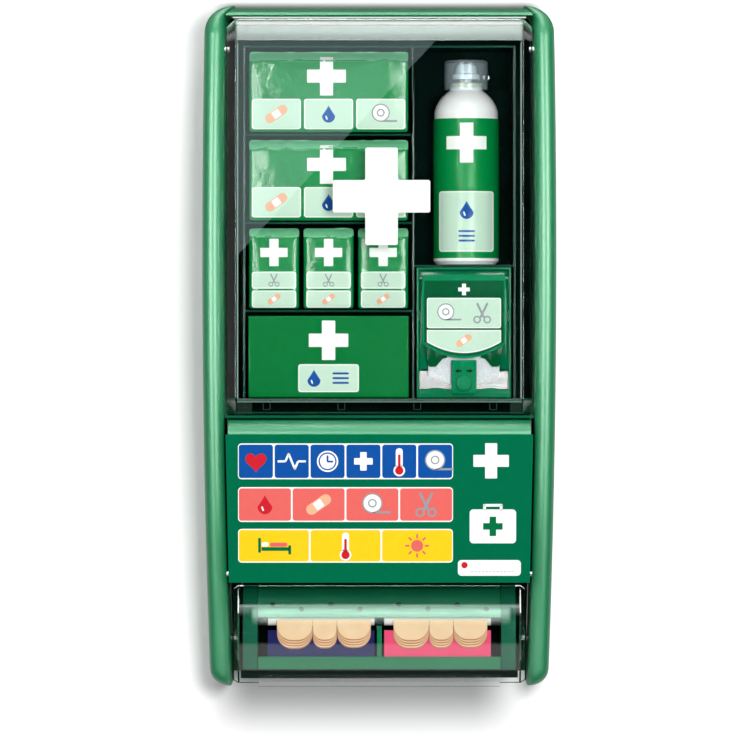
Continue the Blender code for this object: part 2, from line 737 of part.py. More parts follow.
drum = (cover_axis[0] - DRUM_OFFSET, cover_axis[1] + DRUM_OFFSET)
drum_half = cover_half - CLEAR_SHEET - DRUM_SIDE_GAP - END_WIDTH - GAP
tray_floor = drum[1] - TRAY_DROP
shield_end = math.asin(DRUM_SHIELD_DROP / DRUM_RADIUS)
outer = arc(drum, DRUM_RADIUS, math.pi - shield_end, math.pi / 2, 10)
inner = arc(drum, DRUM_RADIUS - SHEET, math.pi / 2, math.pi - shield_end, 10)
back_top = [(back_front, drum[1] + DRUM_RADIUS), (back_front, drum[1] + DRUM_RADIUS - SHEET)]
mesh = prism_mesh("plaster_shield", outer + back_top + inner, 2 * drum_half, "side")
shield = add_part("plaster_shield", mesh, green)
hole_pitch = (drum_half - DIVIDER_WIDTH) / HOLE_COUNT
for sign in (-1, 1):
    for number in range(HOLE_COUNT):
        angle = HOLE_ANGLES[(number + (sign < 0)) % 2]
        x = sign * (DIVIDER_WIDTH + hole_pitch * (number + 0.5))
        name = "shield_hole_%d_%d" % (sign + 1, number)
        hole = knob_mesh(name, HOLE_RADIUS, 0.012, segments=12)
        mesh_turn = Matrix.Rotation(-angle, 4, "X")
        hole.transform(mesh_turn)
        place = (x, drum[0] - DRUM_RADIUS * math.cos(angle), drum[1] + DRUM_RADIUS * math.sin(angle))
        combine(shield, add_cutter(name, hole, place))

end_radius = DRUM_RADIUS + END_PROUD
outline = arc(drum, end_radius, math.pi / 2, math.pi, 10)
outline += [(drum[0] - end_radius, tray_floor - SHEET), (back_front, tray_floor - SHEET),
            (back_front, drum[1] + end_radius)]
for sign, hand in ((-1, "left"), (1, "right")):
    name = "plaster_end_" + hand
    place = (sign * (drum_half + GAP + END_WIDTH / 2), 0, 0)
    add_part(name, prism_mesh(name, outline, END_WIDTH, "side"), green, place)

tray_front = drum[0] - DRUM_RADIUS
outline = [
    (back_front, tray_floor),
    (tray_front + SHEET, tray_floor),
    (tray_front + SHEET, tray_floor + TRAY_LIP),
    (tray_front, tray_floor + TRAY_LIP),
    (tray_front, tray_floor - SHEET),
    (back_front, tray_floor - SHEET),
]
add_part("plaster_tray", prism_mesh("plaster_tray", outline, 2 * drum_half, "side"), green)

refill_y = tray_front + SHEET + STACK_THICKNESS + 2 * GAP
roll_z = drum[1] + DRUM_SHIELD_DROP - ROLL_RADIUS * 0.4
roll_y = refill_y + ROLL_RADIUS
add_box("plaster_divider", (-DIVIDER_WIDTH / 2, DIVIDER_WIDTH / 2), (tray_front + SHEET + GAP, back_front),
        (tray_floor + GAP, drum[1] - 0.002), green)
lobe = []
stack_half = (drum_half - DIVIDER_WIDTH / 2) / 2 - STACK_MARGIN
lobe_radius = stack_half / STACK_LOBES
for number in range(STACK_LOBES):
    centre = (-stack_half + lobe_radius * (2 * number + 1), -STACK_HEIGHT / 2 + lobe_radius * 0.5)
    half_round = arc(centre, lobe_radius, math.pi, 2 * math.pi, 6)[:-1]
    lobe += [(x, centre[1] + (z - centre[1]) * 0.5) for x, z in half_round]
lobe += [(stack_half, -STACK_HEIGHT / 2 + lobe_radius * 0.5), (stack_half, STACK_HEIGHT / 2)]
lobe.append((-stack_half, STACK_HEIGHT / 2))
for sign, hand, colour in ((-1, "left", card_blue), (1, "right", card_pink)):
    near = DIVIDER_WIDTH / 2 + 0.002
    far = drum_half - 0.008
    span = (near, far) if sign > 0 else (-far, -near)
    card_y = (refill_y, refill_y + CARD_THICKNESS)
    add_box("refill_card_" + hand, span, card_y, (tray_floor + GAP, tray_floor + GAP + CARD_HEIGHT), colour)
    middle = sign * (near + far) / 2
    length = far - near
    roll_name = "refill_roll_" + hand
    profile = [(ROD_RADIUS + GAP, length / 2), (ROLL_RADIUS, length / 2), (ROLL_RADIUS, -length / 2),
               (ROD_RADIUS + GAP, -length / 2), (ROD_RADIUS + GAP, length / 2)]
    roll = add_turned(roll_name, profile, paper, (middle, roll_y, roll_z), steps=20)
    roll.rotation_euler = (0, math.pi / 2, 0)
    rod_half = (drum_half - DIVIDER_WIDTH / 2) / 2 - GAP
    flange = length / 2 + GAP
    shift = sign * (drum_half + DIVIDER_WIDTH / 2) / 2 - middle
    profile = [(0, rod_half + sign * shift), (ROLL_RADIUS, rod_half + sign * shift), (ROLL_RADIUS, flange),
               (ROD_RADIUS, flange), (ROD_RADIUS, -rod_half + sign * shift), (0, -rod_half + sign * shift)]
    rod = add_turned("refill_rod_" + hand, profile, black, (middle, roll_y, roll_z), steps=20)
    rod.rotation_euler = (0, sign * math.pi / 2, 0)
    name = "plaster_stack_" + hand
    place = (middle, refill_y - GAP - STACK_THICKNESS / 2, roll_z - STACK_HEIGHT / 2)
    add_part(name, prism_mesh(name, lobe, STACK_THICKNESS, "front"), plaster, place)


# Packs in the left cells

pack_back = liner_back - SCREW_TIP - 2 * GAP
pack_front = pack_back - PACK_DEPTH
pack_x = (cell_left + PACK_MARGIN, cell_right - PACK_MARGIN)


def pack_z(row):
    return (row_floors[row] + GAP, row_floors[row] + row_height - PACK_HEADROOM)


add_box("wound_pouch_upper", pack_x, (pack_front, pack_back), pack_z(3), foil, POUCH_ROUND, 3)
add_box("wound_pouch_lower", pack_x, (pack_front, pack_back), pack_z(2), foil, POUCH_ROUND, 3)
mini_width = (cell_right - cell_left - 4 * PACK_MARGIN) / 3
for number in range(3):
    start = cell_left + PACK_MARGIN + number * (mini_width + PACK_MARGIN)
    add_box("mini_pouch_%d" % (number + 1), (start, start + mini_width), (pack_front, pack_back), pack_z(1), foil,
            MINI_ROUND)
add_box("gel_carton", pack_x, (pack_front, pack_back), pack_z(0), card_green, CARTON_ROUND, 1)

reserve_left = -inner_half(lower_shelf_top) + 0.006
add_box("reserve_carton", (reserve_left, reserve_left + RESERVE_WIDTH),
        (back_front - 0.002 - RESERVE_DEPTH, back_front - 0.002),
        (lower_shelf_top + GAP, lower_shelf_top + GAP + RESERVE_HEIGHT), card_green, CARTON_ROUND, 1)


# Spray can

can = ((bay_left + bay_right) / 2 + CAN_SHIFT, -CAN_DEPTH, bay_floor + GAP)
can_straight = ceiling - can[2] - CAN_HEADROOM - CAP_HEIGHT - GAP - CAN_SHOULDER
shoulder_top = can_straight + CAN_SHOULDER
neck_top = shoulder_top + CAN_NECK
dome = []
for s in range(7):
    a = math.pi / 2 * s / 6
    dome.append((CAN_NECK_RADIUS + (CAN_RADIUS - CAN_NECK_RADIUS) * math.sin(a),
                 can_straight + CAN_SHOULDER * math.cos(a)))
foot = [(CAN_RADIUS, 0.003), (CAN_RADIUS - 0.003, 0), (0, 0)]
profile = [(0, neck_top), (CAN_NECK_RADIUS, neck_top)] + dome + foot
add_turned("spray_can", profile, lacquer, can)
collar_bore = STEM_RADIUS + GAP
profile = [(collar_bore, COLLAR_HEIGHT), (COLLAR_RADIUS - 0.001, COLLAR_HEIGHT),
           (COLLAR_RADIUS, COLLAR_HEIGHT - 0.001), (COLLAR_RADIUS, 0), (collar_bore, 0), (collar_bore, COLLAR_HEIGHT)]
collar_z = can[2] + neck_top + GAP
add_turned("spray_collar", profile, brass, (can[0], can[1], collar_z))
button_z = collar_z + COLLAR_HEIGHT + BUTTON_GAP
button_axis = add_axis("spray_button_axis", (can[0], can[1], button_z))
profile = [(0, BUTTON_HEIGHT), (0.55 * BUTTON_RADIUS, BUTTON_HEIGHT), (0.72 * BUTTON_RADIUS, BUTTON_HEIGHT - 0.002),
           (0.80 * BUTTON_RADIUS, 0.4 * BUTTON_HEIGHT), (BUTTON_RADIUS, 0.3 * BUTTON_HEIGHT), (BUTTON_RADIUS, 0),
           (STEM_RADIUS, 0), (STEM_RADIUS, -BUTTON_GAP - STEM_REACH), (0, -BUTTON_GAP - STEM_REACH)]
add_turned("spray_button", profile, white, (can[0], can[1], button_z), button_axis)
cap_z = can[2] + shoulder_top + GAP
cap_axis = add_axis("spray_cap_axis", (can[0], can[1], cap_z))
cap_inside = CAP_RADIUS - CAP_WALL
profile = [(0, CAP_HEIGHT), (CAP_RADIUS - 0.003, CAP_HEIGHT), (CAP_RADIUS - 0.0008, CAP_HEIGHT - 0.0008),
           (CAP_RADIUS, CAP_HEIGHT - 0.003), (CAP_RADIUS, 0), (cap_inside, 0),
           (cap_inside, CAP_HEIGHT - CAP_WALL - 0.002), (cap_inside - 0.002, CAP_HEIGHT - CAP_WALL),
           (0, CAP_HEIGHT - CAP_WALL)]
add_turned("spray_cap", profile, clear, (can[0], can[1], cap_z), cap_axis)


# Foam bandage dispenser

foam_x = (bay_left + FOAM_MARGIN, bay_right - FOAM_MARGIN)
foam_z = (floor + GAP, bay_shelf - GAP)
foam_back = liner_back - SCREW_TIP - GAP
foam_rim = foam_back - FOAM_DEPTH
foam_mid = (foam_x[0] + foam_x[1]) / 2
foam_in = (foam_x[0] + FOAM_WALL, foam_x[1] - FOAM_WALL)
ledge_top = foam_z[0] + LEDGE_HEIGHT
hollow = [(foam_in, (foam_rim - 0.01, foam_back - FOAM_WALL), (ledge_top, foam_z[1] - FOAM_WALL))]
foam_tray = add_box("foam_tray", foam_x, (foam_rim, foam_back), foam_z, green)
combine(foam_tray, add_cutter("foam_tray_hollow", boxes_mesh("foam_tray_hollow", hollow)))

core_at = ((foam_rim + foam_back) / 2, ledge_top + FOAM_CORE_HEIGHT)
core_length = foam_in[1] - foam_in[0] - 2 * GAP
add_part("foam_core", pin_mesh("foam_core", FOAM_CORE_RADIUS, core_length), white, (foam_mid, *core_at))
roll_axis = add_axis("foam_roll_axis", (foam_mid, *core_at))
half = (foam_in[1] - foam_in[0]) / 2 - STRIP_INSET + 0.003
profile = [(FOAM_CORE_RADIUS + GAP, half), (FOAM_ROLL_RADIUS, half), (FOAM_ROLL_RADIUS, -half),
           (FOAM_CORE_RADIUS + GAP, -half), (FOAM_CORE_RADIUS + GAP, half)]
roll = add_turned("foam_roll", profile, foam, (foam_mid, *core_at), roll_axis, 28)
roll.rotation_euler = (0, math.pi / 2, 0)

rail_y = (foam_rim + RAIL_SETBACK, foam_rim + RAIL_SETBACK + RAIL_THICKNESS)
rail_z = (foam_z[0] + RAIL_BOTTOM, foam_z[0] + RAIL_BOTTOM + RAIL_HEIGHT)
add_box("cutter_rail", (foam_in[0] + GAP, foam_in[1] - GAP), rail_y, rail_z, steel)
strip_y = (rail_y[0] - GAP - STRIP_THICKNESS, rail_y[0] - GAP)
strip_z = (foam_z[0] + STRIP_BOTTOM, foam_z[0] + STRIP_BOTTOM + STRIP_HEIGHT)
strip_x = (foam_in[0] + STRIP_INSET, foam_in[1] - STRIP_INSET)
add_box("foam_strip", strip_x, strip_y, strip_z, foam)

lid_axis_at = (foam_rim + FOAM_AXIS_BACK, foam_z[1] - FOAM_AXIS_DROP)
lid_axis = add_axis("foam_lid_axis", (foam_mid, *lid_axis_at))
lid_pin = pin_mesh("foam_lid_pin", FOAM_PIN_RADIUS, core_length, 14)
add_part("foam_lid_pin", lid_pin, steel, (foam_mid, *lid_axis_at))
lid_half = (foam_x[1] - foam_x[0]) / 2 - FOAM_FLAP_INSET
lid_front = -(FOAM_AXIS_BACK + RUN + FOAM_FLAP_THICKNESS)
across = [1 - 2 * s / 10 for s in range(11)]
sag = [(lid_half * u, -FOAM_FLAP_DROP - FOAM_FLAP_ARC * (1 - u ** 2)) for u in across]
outline = [(-lid_half, FOAM_FLAP_TOP), (lid_half, FOAM_FLAP_TOP)] + sag
mesh = prism_mesh("foam_lid", outline, FOAM_FLAP_THICKNESS, "front")
mesh.transform(Matrix.Translation((0, lid_front + FOAM_FLAP_THICKNESS / 2, 0)))
lid = add_part("foam_lid", mesh, green, (foam_mid, *lid_axis_at), lid_axis)
knuckle_length = 2 * lid_half - 0.004
web = arc((0, 0), KNUCKLE_RADIUS, -math.pi / 2, math.pi / 2, 8)
lid_middle = lid_front + FOAM_FLAP_THICKNESS / 2
web += [(lid_middle, KNUCKLE_RADIUS), (lid_middle, -KNUCKLE_RADIUS)]
knuckle = prism_mesh("foam_lid_knuckle", web, knuckle_length, "side")
combine(lid, add_cutter("foam_lid_knuckle", knuckle, (foam_mid, *lid_axis_at)), "UNION")
bore = pin_mesh("foam_lid_bore", FOAM_PIN_RADIUS + GAP, 2 * core_length, 14)
combine(lid, add_cutter("foam_lid_bore", bore, (foam_mid, *lid_axis_at)))

slider_back = foam_rim - GAP
slider_y = (slider_back - SLIDER_THICKNESS, slider_back)
lid_low = lid_axis_at[1] - FOAM_FLAP_DROP - FOAM_FLAP_ARC
slider_low = foam_z[0] + SLIDER_BOTTOM
slider_high = min(slider_low + SLIDER_HEIGHT, lid_low - RUN)
slider_axis = add_axis("cutter_axis", (foam_mid, slider_back, slider_low))
slider_x = (foam_mid - SLIDER_WIDTH / 2, foam_mid + SLIDER_WIDTH / 2)
add_box("cutter_slider", slider_x, slider_y, (slider_low, slider_high), green, 0.0012, 2, slider_axis)
knob_at = (foam_mid, slider_y[0] - GAP - KNOB_HEIGHT / 2, slider_low + KNOB_RISE)
add_part("cutter_knob", knob_mesh("cutter_knob", KNOB_RADIUS, KNOB_HEIGHT, 0.0015), green, knob_at, slider_axis)
blade_x = (foam_mid - BLADE_WIDTH / 2, foam_mid + BLADE_WIDTH / 2)
blade_z = rail_z[1] - 0.004
add_box("cutter_blade", blade_x, (slider_back + GAP, strip_y[0] - GAP), (blade_z, blade_z + BLADE_THICKNESS), steel,
        parent=slider_axis)
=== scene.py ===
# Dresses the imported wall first-aid station: green moulded cabinet, clear doors, and the stock behind them.
import json
import math

import bpy
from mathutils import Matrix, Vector, noise

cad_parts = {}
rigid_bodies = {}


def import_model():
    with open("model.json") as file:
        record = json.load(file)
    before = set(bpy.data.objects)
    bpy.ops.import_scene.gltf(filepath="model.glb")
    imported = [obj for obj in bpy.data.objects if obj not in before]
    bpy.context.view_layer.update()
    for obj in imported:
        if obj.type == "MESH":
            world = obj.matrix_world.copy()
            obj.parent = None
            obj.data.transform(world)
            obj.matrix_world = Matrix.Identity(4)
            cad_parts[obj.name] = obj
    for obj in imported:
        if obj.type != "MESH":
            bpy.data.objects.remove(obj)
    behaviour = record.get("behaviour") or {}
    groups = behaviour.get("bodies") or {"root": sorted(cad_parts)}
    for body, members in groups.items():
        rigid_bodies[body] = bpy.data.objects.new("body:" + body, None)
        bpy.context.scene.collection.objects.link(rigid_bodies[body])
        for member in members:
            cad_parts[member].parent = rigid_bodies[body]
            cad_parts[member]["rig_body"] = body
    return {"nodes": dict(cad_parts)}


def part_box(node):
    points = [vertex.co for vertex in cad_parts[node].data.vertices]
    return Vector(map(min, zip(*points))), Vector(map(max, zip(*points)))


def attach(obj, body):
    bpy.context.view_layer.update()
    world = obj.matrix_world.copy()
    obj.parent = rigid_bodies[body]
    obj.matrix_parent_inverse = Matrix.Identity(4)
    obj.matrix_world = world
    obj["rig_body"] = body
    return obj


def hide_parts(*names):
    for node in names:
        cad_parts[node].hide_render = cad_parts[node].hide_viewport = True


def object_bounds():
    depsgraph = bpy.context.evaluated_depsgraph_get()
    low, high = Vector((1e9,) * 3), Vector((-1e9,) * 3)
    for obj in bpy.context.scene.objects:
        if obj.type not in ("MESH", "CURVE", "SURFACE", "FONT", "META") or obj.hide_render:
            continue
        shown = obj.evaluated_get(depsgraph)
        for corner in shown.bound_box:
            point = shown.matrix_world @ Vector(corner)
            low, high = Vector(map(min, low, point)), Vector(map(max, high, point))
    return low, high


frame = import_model()
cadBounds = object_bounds()
nodes = frame["nodes"]
mm = 0.001
print("frame loaded:", len(nodes), "nodes")


# materials

def toLinear(hexColour):
    parts = [int(hexColour[i:i + 2], 16) / 255 for i in (1, 3, 5)]
    return tuple(c / 12.92 if c < 0.04045 else ((c + 0.055) / 1.055) ** 2.4 for c in parts) + (1.0,)


def plug(tree, made, inputs):
    for socket, value in inputs.items():
        if isinstance(value, bpy.types.NodeSocket):
            tree.links.new(value, made.inputs[socket])
        else:
            made.inputs[socket].default_value = value


def addNode(tree, kind, inputs, **settings):
    made = tree.nodes.new("ShaderNode" + kind)
    for name, value in settings.items():
        setattr(made, name, value)
    plug(tree, made, inputs)
    return made


def startMaterial(name):
    made = bpy.data.materials.new(name)
    made.use_nodes = True
    tree = made.node_tree
    where = addNode(tree, "TexCoord", {}).outputs["Object"]
    return made, tree, tree.nodes["Principled BSDF"], where


def mouldedPlastic(name, dark, light, roughness, shine=0.5, peelSize=3.0, peelDepth=0.004):
    # injection moulded: one colour right through, faint clouding over a few centimetres,
    # and the orange peel of a polished tool, which softens every highlight
    made, tree, shader, where = startMaterial(name)
    clouds = addNode(tree, "TexNoise", {"Vector": where, "Scale": 1 / (28 * mm), "Detail": 3.0})
    tint = addNode(tree, "Mix", {0: clouds.outputs["Fac"], 6: toLinear(dark), 7: toLinear(light)},
                   data_type="RGBA")
    peel = addNode(tree, "TexNoise", {"Vector": where, "Scale": 1 / (peelSize * mm), "Detail": 1.0})
    bump = addNode(tree, "Bump", {"Height": peel.outputs["Fac"], "Distance": peelDepth * mm, "Strength": 1.0})
    gloss = addNode(tree, "MapRange", {"Value": clouds.outputs["Fac"], "To Min": roughness - 0.03,
                                       "To Max": roughness + 0.03})
    plug(tree, shader, {"Base Color": tint.outputs[2], "Roughness": gloss.outputs["Result"],
                        "Normal": bump.outputs["Normal"], "IOR": 1.53, "Specular IOR Level": shine})
    return made


def clearPlastic(name, thin, thick, wave, bend=1.5, clear=1.0):
    # polycarbonate, moulded clear: see-through with mirror-like gloss, tinted a little more here and there,
    # and faintly wavy, which bends the reflections; lamps pass it, so what stands behind it is lit
    made, tree, shader, where = startMaterial(name)
    flow = addNode(tree, "TexNoise", {"Vector": where, "Scale": 1 / (55 * mm), "Detail": 1.0})
    tint = addNode(tree, "Mix", {0: flow.outputs["Fac"], 6: toLinear(thin), 7: toLinear(thick)},
                   data_type="RGBA")
    bump = addNode(tree, "Bump", {"Height": flow.outputs["Fac"], "Distance": wave * mm, "Strength": 1.0})
    plug(tree, shader, {"Base Color": tint.outputs[2], "Normal": bump.outputs["Normal"], "Roughness": 0.0,
                        "Transmission Weight": clear, "IOR": bend})
    path = addNode(tree, "LightPath", {})
    lampRay = addNode(tree, "Math", {0: path.outputs["Is Shadow Ray"], 1: path.outputs["Is Diffuse Ray"]},
                      operation="MAXIMUM")
    through = addNode(tree, "BsdfTransparent", {"Color": tint.outputs[2]})
    mixed = addNode(tree, "MixShader", {0: lampRay.outputs[0], 1: shader.outputs[0], 2: through.outputs[0]})
    plug(tree, tree.nodes["Material Output"], {"Surface": mixed.outputs[0]})
    return made


def printedSheet(name, dark, light, roughness, shine, coat, creaseSize=None, creaseDepth=0.0):
    # offset print under a clear lacquer: even ink with a faint mottle, and a sharper gloss on a duller one;
    # film that is wrapped round something soft shows long shallow creases
    made, tree, shader, where = startMaterial(name)
    mottle = addNode(tree, "TexNoise", {"Vector": where, "Scale": 1 / (6 * mm), "Detail": 4.0})
    tint = addNode(tree, "Mix", {0: mottle.outputs["Fac"], 6: toLinear(dark), 7: toLinear(light)},
                   data_type="RGBA")
    gloss = addNode(tree, "MapRange", {"Value": mottle.outputs["Fac"], "To Min": roughness - 0.04,
                                       "To Max": roughness + 0.04})
    plug(tree, shader, {"Base Color": tint.outputs[2], "Roughness": gloss.outputs["Result"],
                        "Specular IOR Level": shine, "Coat Weight": coat, "Coat Roughness": 0.08})
    if creaseSize:
        creases = addNode(tree, "TexNoise", {"Vector": where, "Scale": 1 / (creaseSize * mm), "Detail": 3.0,
                                             "Distortion": 1.5})
        bump = addNode(tree, "Bump", {"Height": creases.outputs["Fac"], "Distance": creaseDepth * mm,
                                      "Strength": 1.0})
        plug(tree, shader, {"Normal": bump.outputs["Normal"], "Coat Normal": bump.outputs["Normal"]})
    return made


def wovenPlaster(name, dark, light):
    # elastic cloth plaster: plain weave of about 0.5 mm, drawn at 1.1 mm so that it shows, matt and warm
    made, tree, shader, where = startMaterial(name)
    weave = addNode(tree, "TexVoronoi", {"Vector": where, "Scale": 1 / (1.1 * mm), "Randomness": 0.25})
    patches = addNode(tree, "TexNoise", {"Vector": where, "Scale": 1 / (14 * mm), "Detail": 2.0})
    shade = addNode(tree, "MapRange", {"Value": weave.outputs["Distance"], "To Min": 0.25, "To Max": 0.0})
    blend = addNode(tree, "Math", {0: shade.outputs["Result"], 1: patches.outputs["Fac"]}, operation="ADD")
    tint = addNode(tree, "Mix", {0: blend.outputs[0], 6: toLinear(light), 7: toLinear(dark)},
                   data_type="RGBA")
    bump = addNode(tree, "Bump", {"Height": weave.outputs["Distance"], "Distance": 0.05 * mm,
                                  "Strength": 0.6})
    plug(tree, shader, {"Base Color": tint.outputs[2], "Normal": bump.outputs["Normal"], "Roughness": 0.75,
                        "Specular IOR Level": 0.05})
    return made


def softFoam(name, dark, light):
    # open-cell elastic foam strip: chalky white, dimpled by small cells
    made, tree, shader, where = startMaterial(name)
    cells = addNode(tree, "TexVoronoi", {"Vector": where, "Scale": 1 / (1.6 * mm)})
    tint = addNode(tree, "Mix", {0: cells.outputs["Distance"], 6: toLinear(dark), 7: toLinear(light)},
                   data_type="RGBA")
    bump = addNode(tree, "Bump", {"Height": cells.outputs["Distance"], "Distance": 0.25 * mm,
                                  "Strength": 0.7})
    plug(tree, shader, {"Base Color": tint.outputs[2], "Normal": bump.outputs["Normal"], "Roughness": 0.85,
                        "Specular IOR Level": 0.05})
    return made


def brushedMetal(name, dark, light, roughness, grain):
    # rolled strip: grey to the eye, with fine lines along its length that pull highlights out sideways
    made, tree, shader, where = startMaterial(name)
    along = addNode(tree, "Mapping", {"Vector": where, "Scale": (0.04, 1.0, 1.0)})
    lines = addNode(tree, "TexNoise", {"Vector": along.outputs["Vector"], "Scale": 1 / (grain * mm),
                                       "Detail": 3.0})
    tint = addNode(tree, "Mix", {0: lines.outputs["Fac"], 6: toLinear(dark), 7: toLinear(light)},
                   data_type="RGBA")
    gloss = addNode(tree, "MapRange", {"Value": lines.outputs["Fac"], "To Min": roughness - 0.08,
                                       "To Max": roughness + 0.08})
    plug(tree, shader, {"Base Color": tint.outputs[2], "Roughness": gloss.outputs["Result"], "Metallic": 1.0})
    return made


greenAbs = mouldedPlastic("greenAbs", "#0c7447", "#127e50", 0.30, 0.75, 5.0, 0.002)
railGreen = mouldedPlastic("railGreenAbs", "#0a6f43", "#0f794c", 0.38, 0.6)
linerGreen = mouldedPlastic("deepGreenStyrene", "#010d0a", "#02120e", 0.10, 0.04)
# painted highlight: a lighter copy of the liner green, for the cell rims
rimHighlightGreen = mouldedPlastic("rimGreenStyrene", "#0d3a30", "#134639", 0.10, 0.2)
shelfGreen = mouldedPlastic("shelfGreenStyrene", "#075037", "#0a5a3f", 0.10, 0.15)
drumGreen = mouldedPlastic("drumGreenAbs", "#0b5f41", "#0f6a49", 0.30, 0.5)
endGreen = mouldedPlastic("drumEndGreenAbs", "#07513a", "#0a5b41", 0.20, 0.08)
dispenserGreen = mouldedPlastic("dispenserGreenAbs", "#006a42", "#00764b", 0.10, 0.25)
lidGreen = mouldedPlastic("lidGreenAbs", "#007c4d", "#008654", 0.10, 0.15)
darkFlapGreen = mouldedPlastic("darkGreenAbs", "#00502a", "#005a31", 0.10, 0.12)
blackPlastic = mouldedPlastic("blackPolypropylene", "#141414", "#1d1d1d", 0.40)
whitePlastic = mouldedPlastic("whitePolypropylene", "#ececea", "#f5f5f3", 0.35)
whiteLacquer = mouldedPlastic("whiteCanLacquer", "#f4f5f5", "#fbfcfc", 0.16, 0.3)
clearDoor = clearPlastic("clearPolycarbonate", "#fefefe", "#fbfdfc", 0.006)
clearCover = clearPlastic("clearCoverPolycarbonate", "#fefefe", "#fbfdfc", 0.006, 1.35)
clearCap = clearPlastic("clearStyreneCap", "#f5fbfe", "#e6f3f9", 0.004, 1.3, 0.90)
plateGreen = printedSheet("printedPlateGreen", "#006644", "#006d49", 0.12, 0.15, 0.0)
cartonGreen = printedSheet("cartonGreen", "#00702f", "#007637", 0.12, 0.15, 0.0)
filmGreen = printedSheet("filmGreen", "#007c3a", "#038644", 0.14, 0.25, 0.2, 16.0, 0.35)
filmFoldHighlight = printedSheet("filmFoldGreen", "#63bb88", "#7cc99c", 0.16, 0.2, 0.2, 16.0, 0.35)
canGreen = printedSheet("canLabelGreen", "#00813c", "#008a43", 0.24, 0.12, 0.0)
navyCard = printedSheet("navyCard", "#1b2154", "#21275d", 0.14, 0.1, 0.0)
pinkCard = printedSheet("pinkCard", "#ea4a72", "#f0567c", 0.14, 0.1, 0.0)
whitePaper = printedSheet("whiteRefillPaper", "#e9e7e2", "#f3f1ec", 0.60, 0.05, 0.0)
plasterCloth = wovenPlaster("beigePlasterCloth", "#edc79a", "#fde2bd")
plasterDarkerLayer = wovenPlaster("tanPlasterCloth", "#b87a55", "#cc9470")
whiteFoam = softFoam("whiteElasticFoam", "#d4d8e0", "#f4f6fa")
railSteel = brushedMetal("brushedRailSteel", "#b0b0b0", "#d2d2d2", 0.20, 0.7)
pinSteel = brushedMetal("brightPinSteel", "#a2a4a6", "#c4c6c8", 0.25, 0.5)
giltTin = mouldedPlastic("giltTinLacquer", "#d6cd9c", "#e6dfba", 0.25, 0.4)
inkTones = {  # glossy printing ink on plastic and film: one even tone, barely mottled
    "white": ("whiteInk", "#f7f8f6", "#fcfdfb"), "mint": ("mintInk", "#c4e2cd", "#cee8d6"),
    "peach": ("peachInk", "#eeb08c", "#f3ba98"), "red": ("redInk", "#c8202c", "#d12833"),
    "blue": ("blueInk", "#0e4d9c", "#1554a3"), "coral": ("coralInk", "#e4645f", "#e96d67"),
    "yellow": ("yellowInk", "#f0ca18", "#f3d126"), "grey": ("greyInk", "#8f979c", "#9aa2a6"),
    "leaf": ("leafInk", "#056a3c", "#087243"), "black": ("blackInk", "#101412", "#181c1a"),
    # the bend and edge highlight tones are painted highlights for the door's bends, not ink; the clip tone is
    # the clips' own
    "seam": ("seamGrey", "#6f9087", "#83a49a"), "clip": ("clipGrey", "#2c433d", "#3a544d"),
    "pale": ("paleEdge", "#bccdc3", "#cadad0"),
}
inks = {ink: printedSheet(*tones, 0.12, 0.12, 0.0) for ink, tones in inkTones.items()}
inks["lid"] = darkFlapGreen
print("materials made:", len(bpy.data.materials))


# CAD nodes: a copy of each visible one is welded, gets small moulded radii and a finish

def deselectAll():
    bpy.ops.object.select_all(action="DESELECT")


def pickUp(piece):
    deselectAll()
    piece.select_set(True)
    bpy.context.view_layer.objects.active = piece


def settle():  # place, turn and size go into the mesh
    bpy.ops.object.transform_apply(location=True, rotation=True, scale=True)


def openMesh():
    bpy.ops.object.mode_set(mode="EDIT")
    bpy.ops.mesh.select_all(action="SELECT")


def closeMesh():
    bpy.ops.object.mode_set(mode="OBJECT")


def finishWith(piece, kind, **settings):
    added = piece.modifiers.new(kind.lower(), kind)
    for name, value in settings.items():
        setattr(added, name, value)
    bpy.ops.object.modifier_apply(modifier=added.name)


def selectPoints(piece, test):
    for face in piece.data.polygons:
        face.select = False
    for edge in piece.data.edges:
        edge.select = False
    for point in piece.data.vertices:
        point.select = test(point.co)


def camelName(nodeName):
    first, *rest = nodeName.split("_")
    return first + "".join(word.capitalize() for word in rest)


def dress(nodeName, material, edge=0.4, smooth=38):
    source = nodes[nodeName]
    piece = bpy.data.objects.new(camelName(nodeName), source.data.copy())
    bpy.context.scene.collection.objects.link(piece)
    piece.data.materials.clear()
    piece.data.materials.append(material)
    pickUp(piece)
    if piece.data.has_custom_normals:
        bpy.ops.mesh.customdata_custom_splitnormals_clear()
    openMesh()
    bpy.ops.mesh.remove_doubles(threshold=0.002 * mm)
    bpy.ops.mesh.tris_convert_to_quads()
    closeMesh()
    if edge:
        finishWith(piece, "BEVEL", width=edge * mm, segments=2, limit_method="ANGLE",
                   angle_limit=math.radians(40), miter_outer="MITER_ARC")
    bpy.ops.object.shade_smooth_by_angle(angle=math.radians(smooth))
    finishWith(piece, "WEIGHTED_NORMAL", keep_sharp=True)  # flat faces mirror as flat
    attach(piece, source["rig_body"])
    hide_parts(nodeName)
    return piece


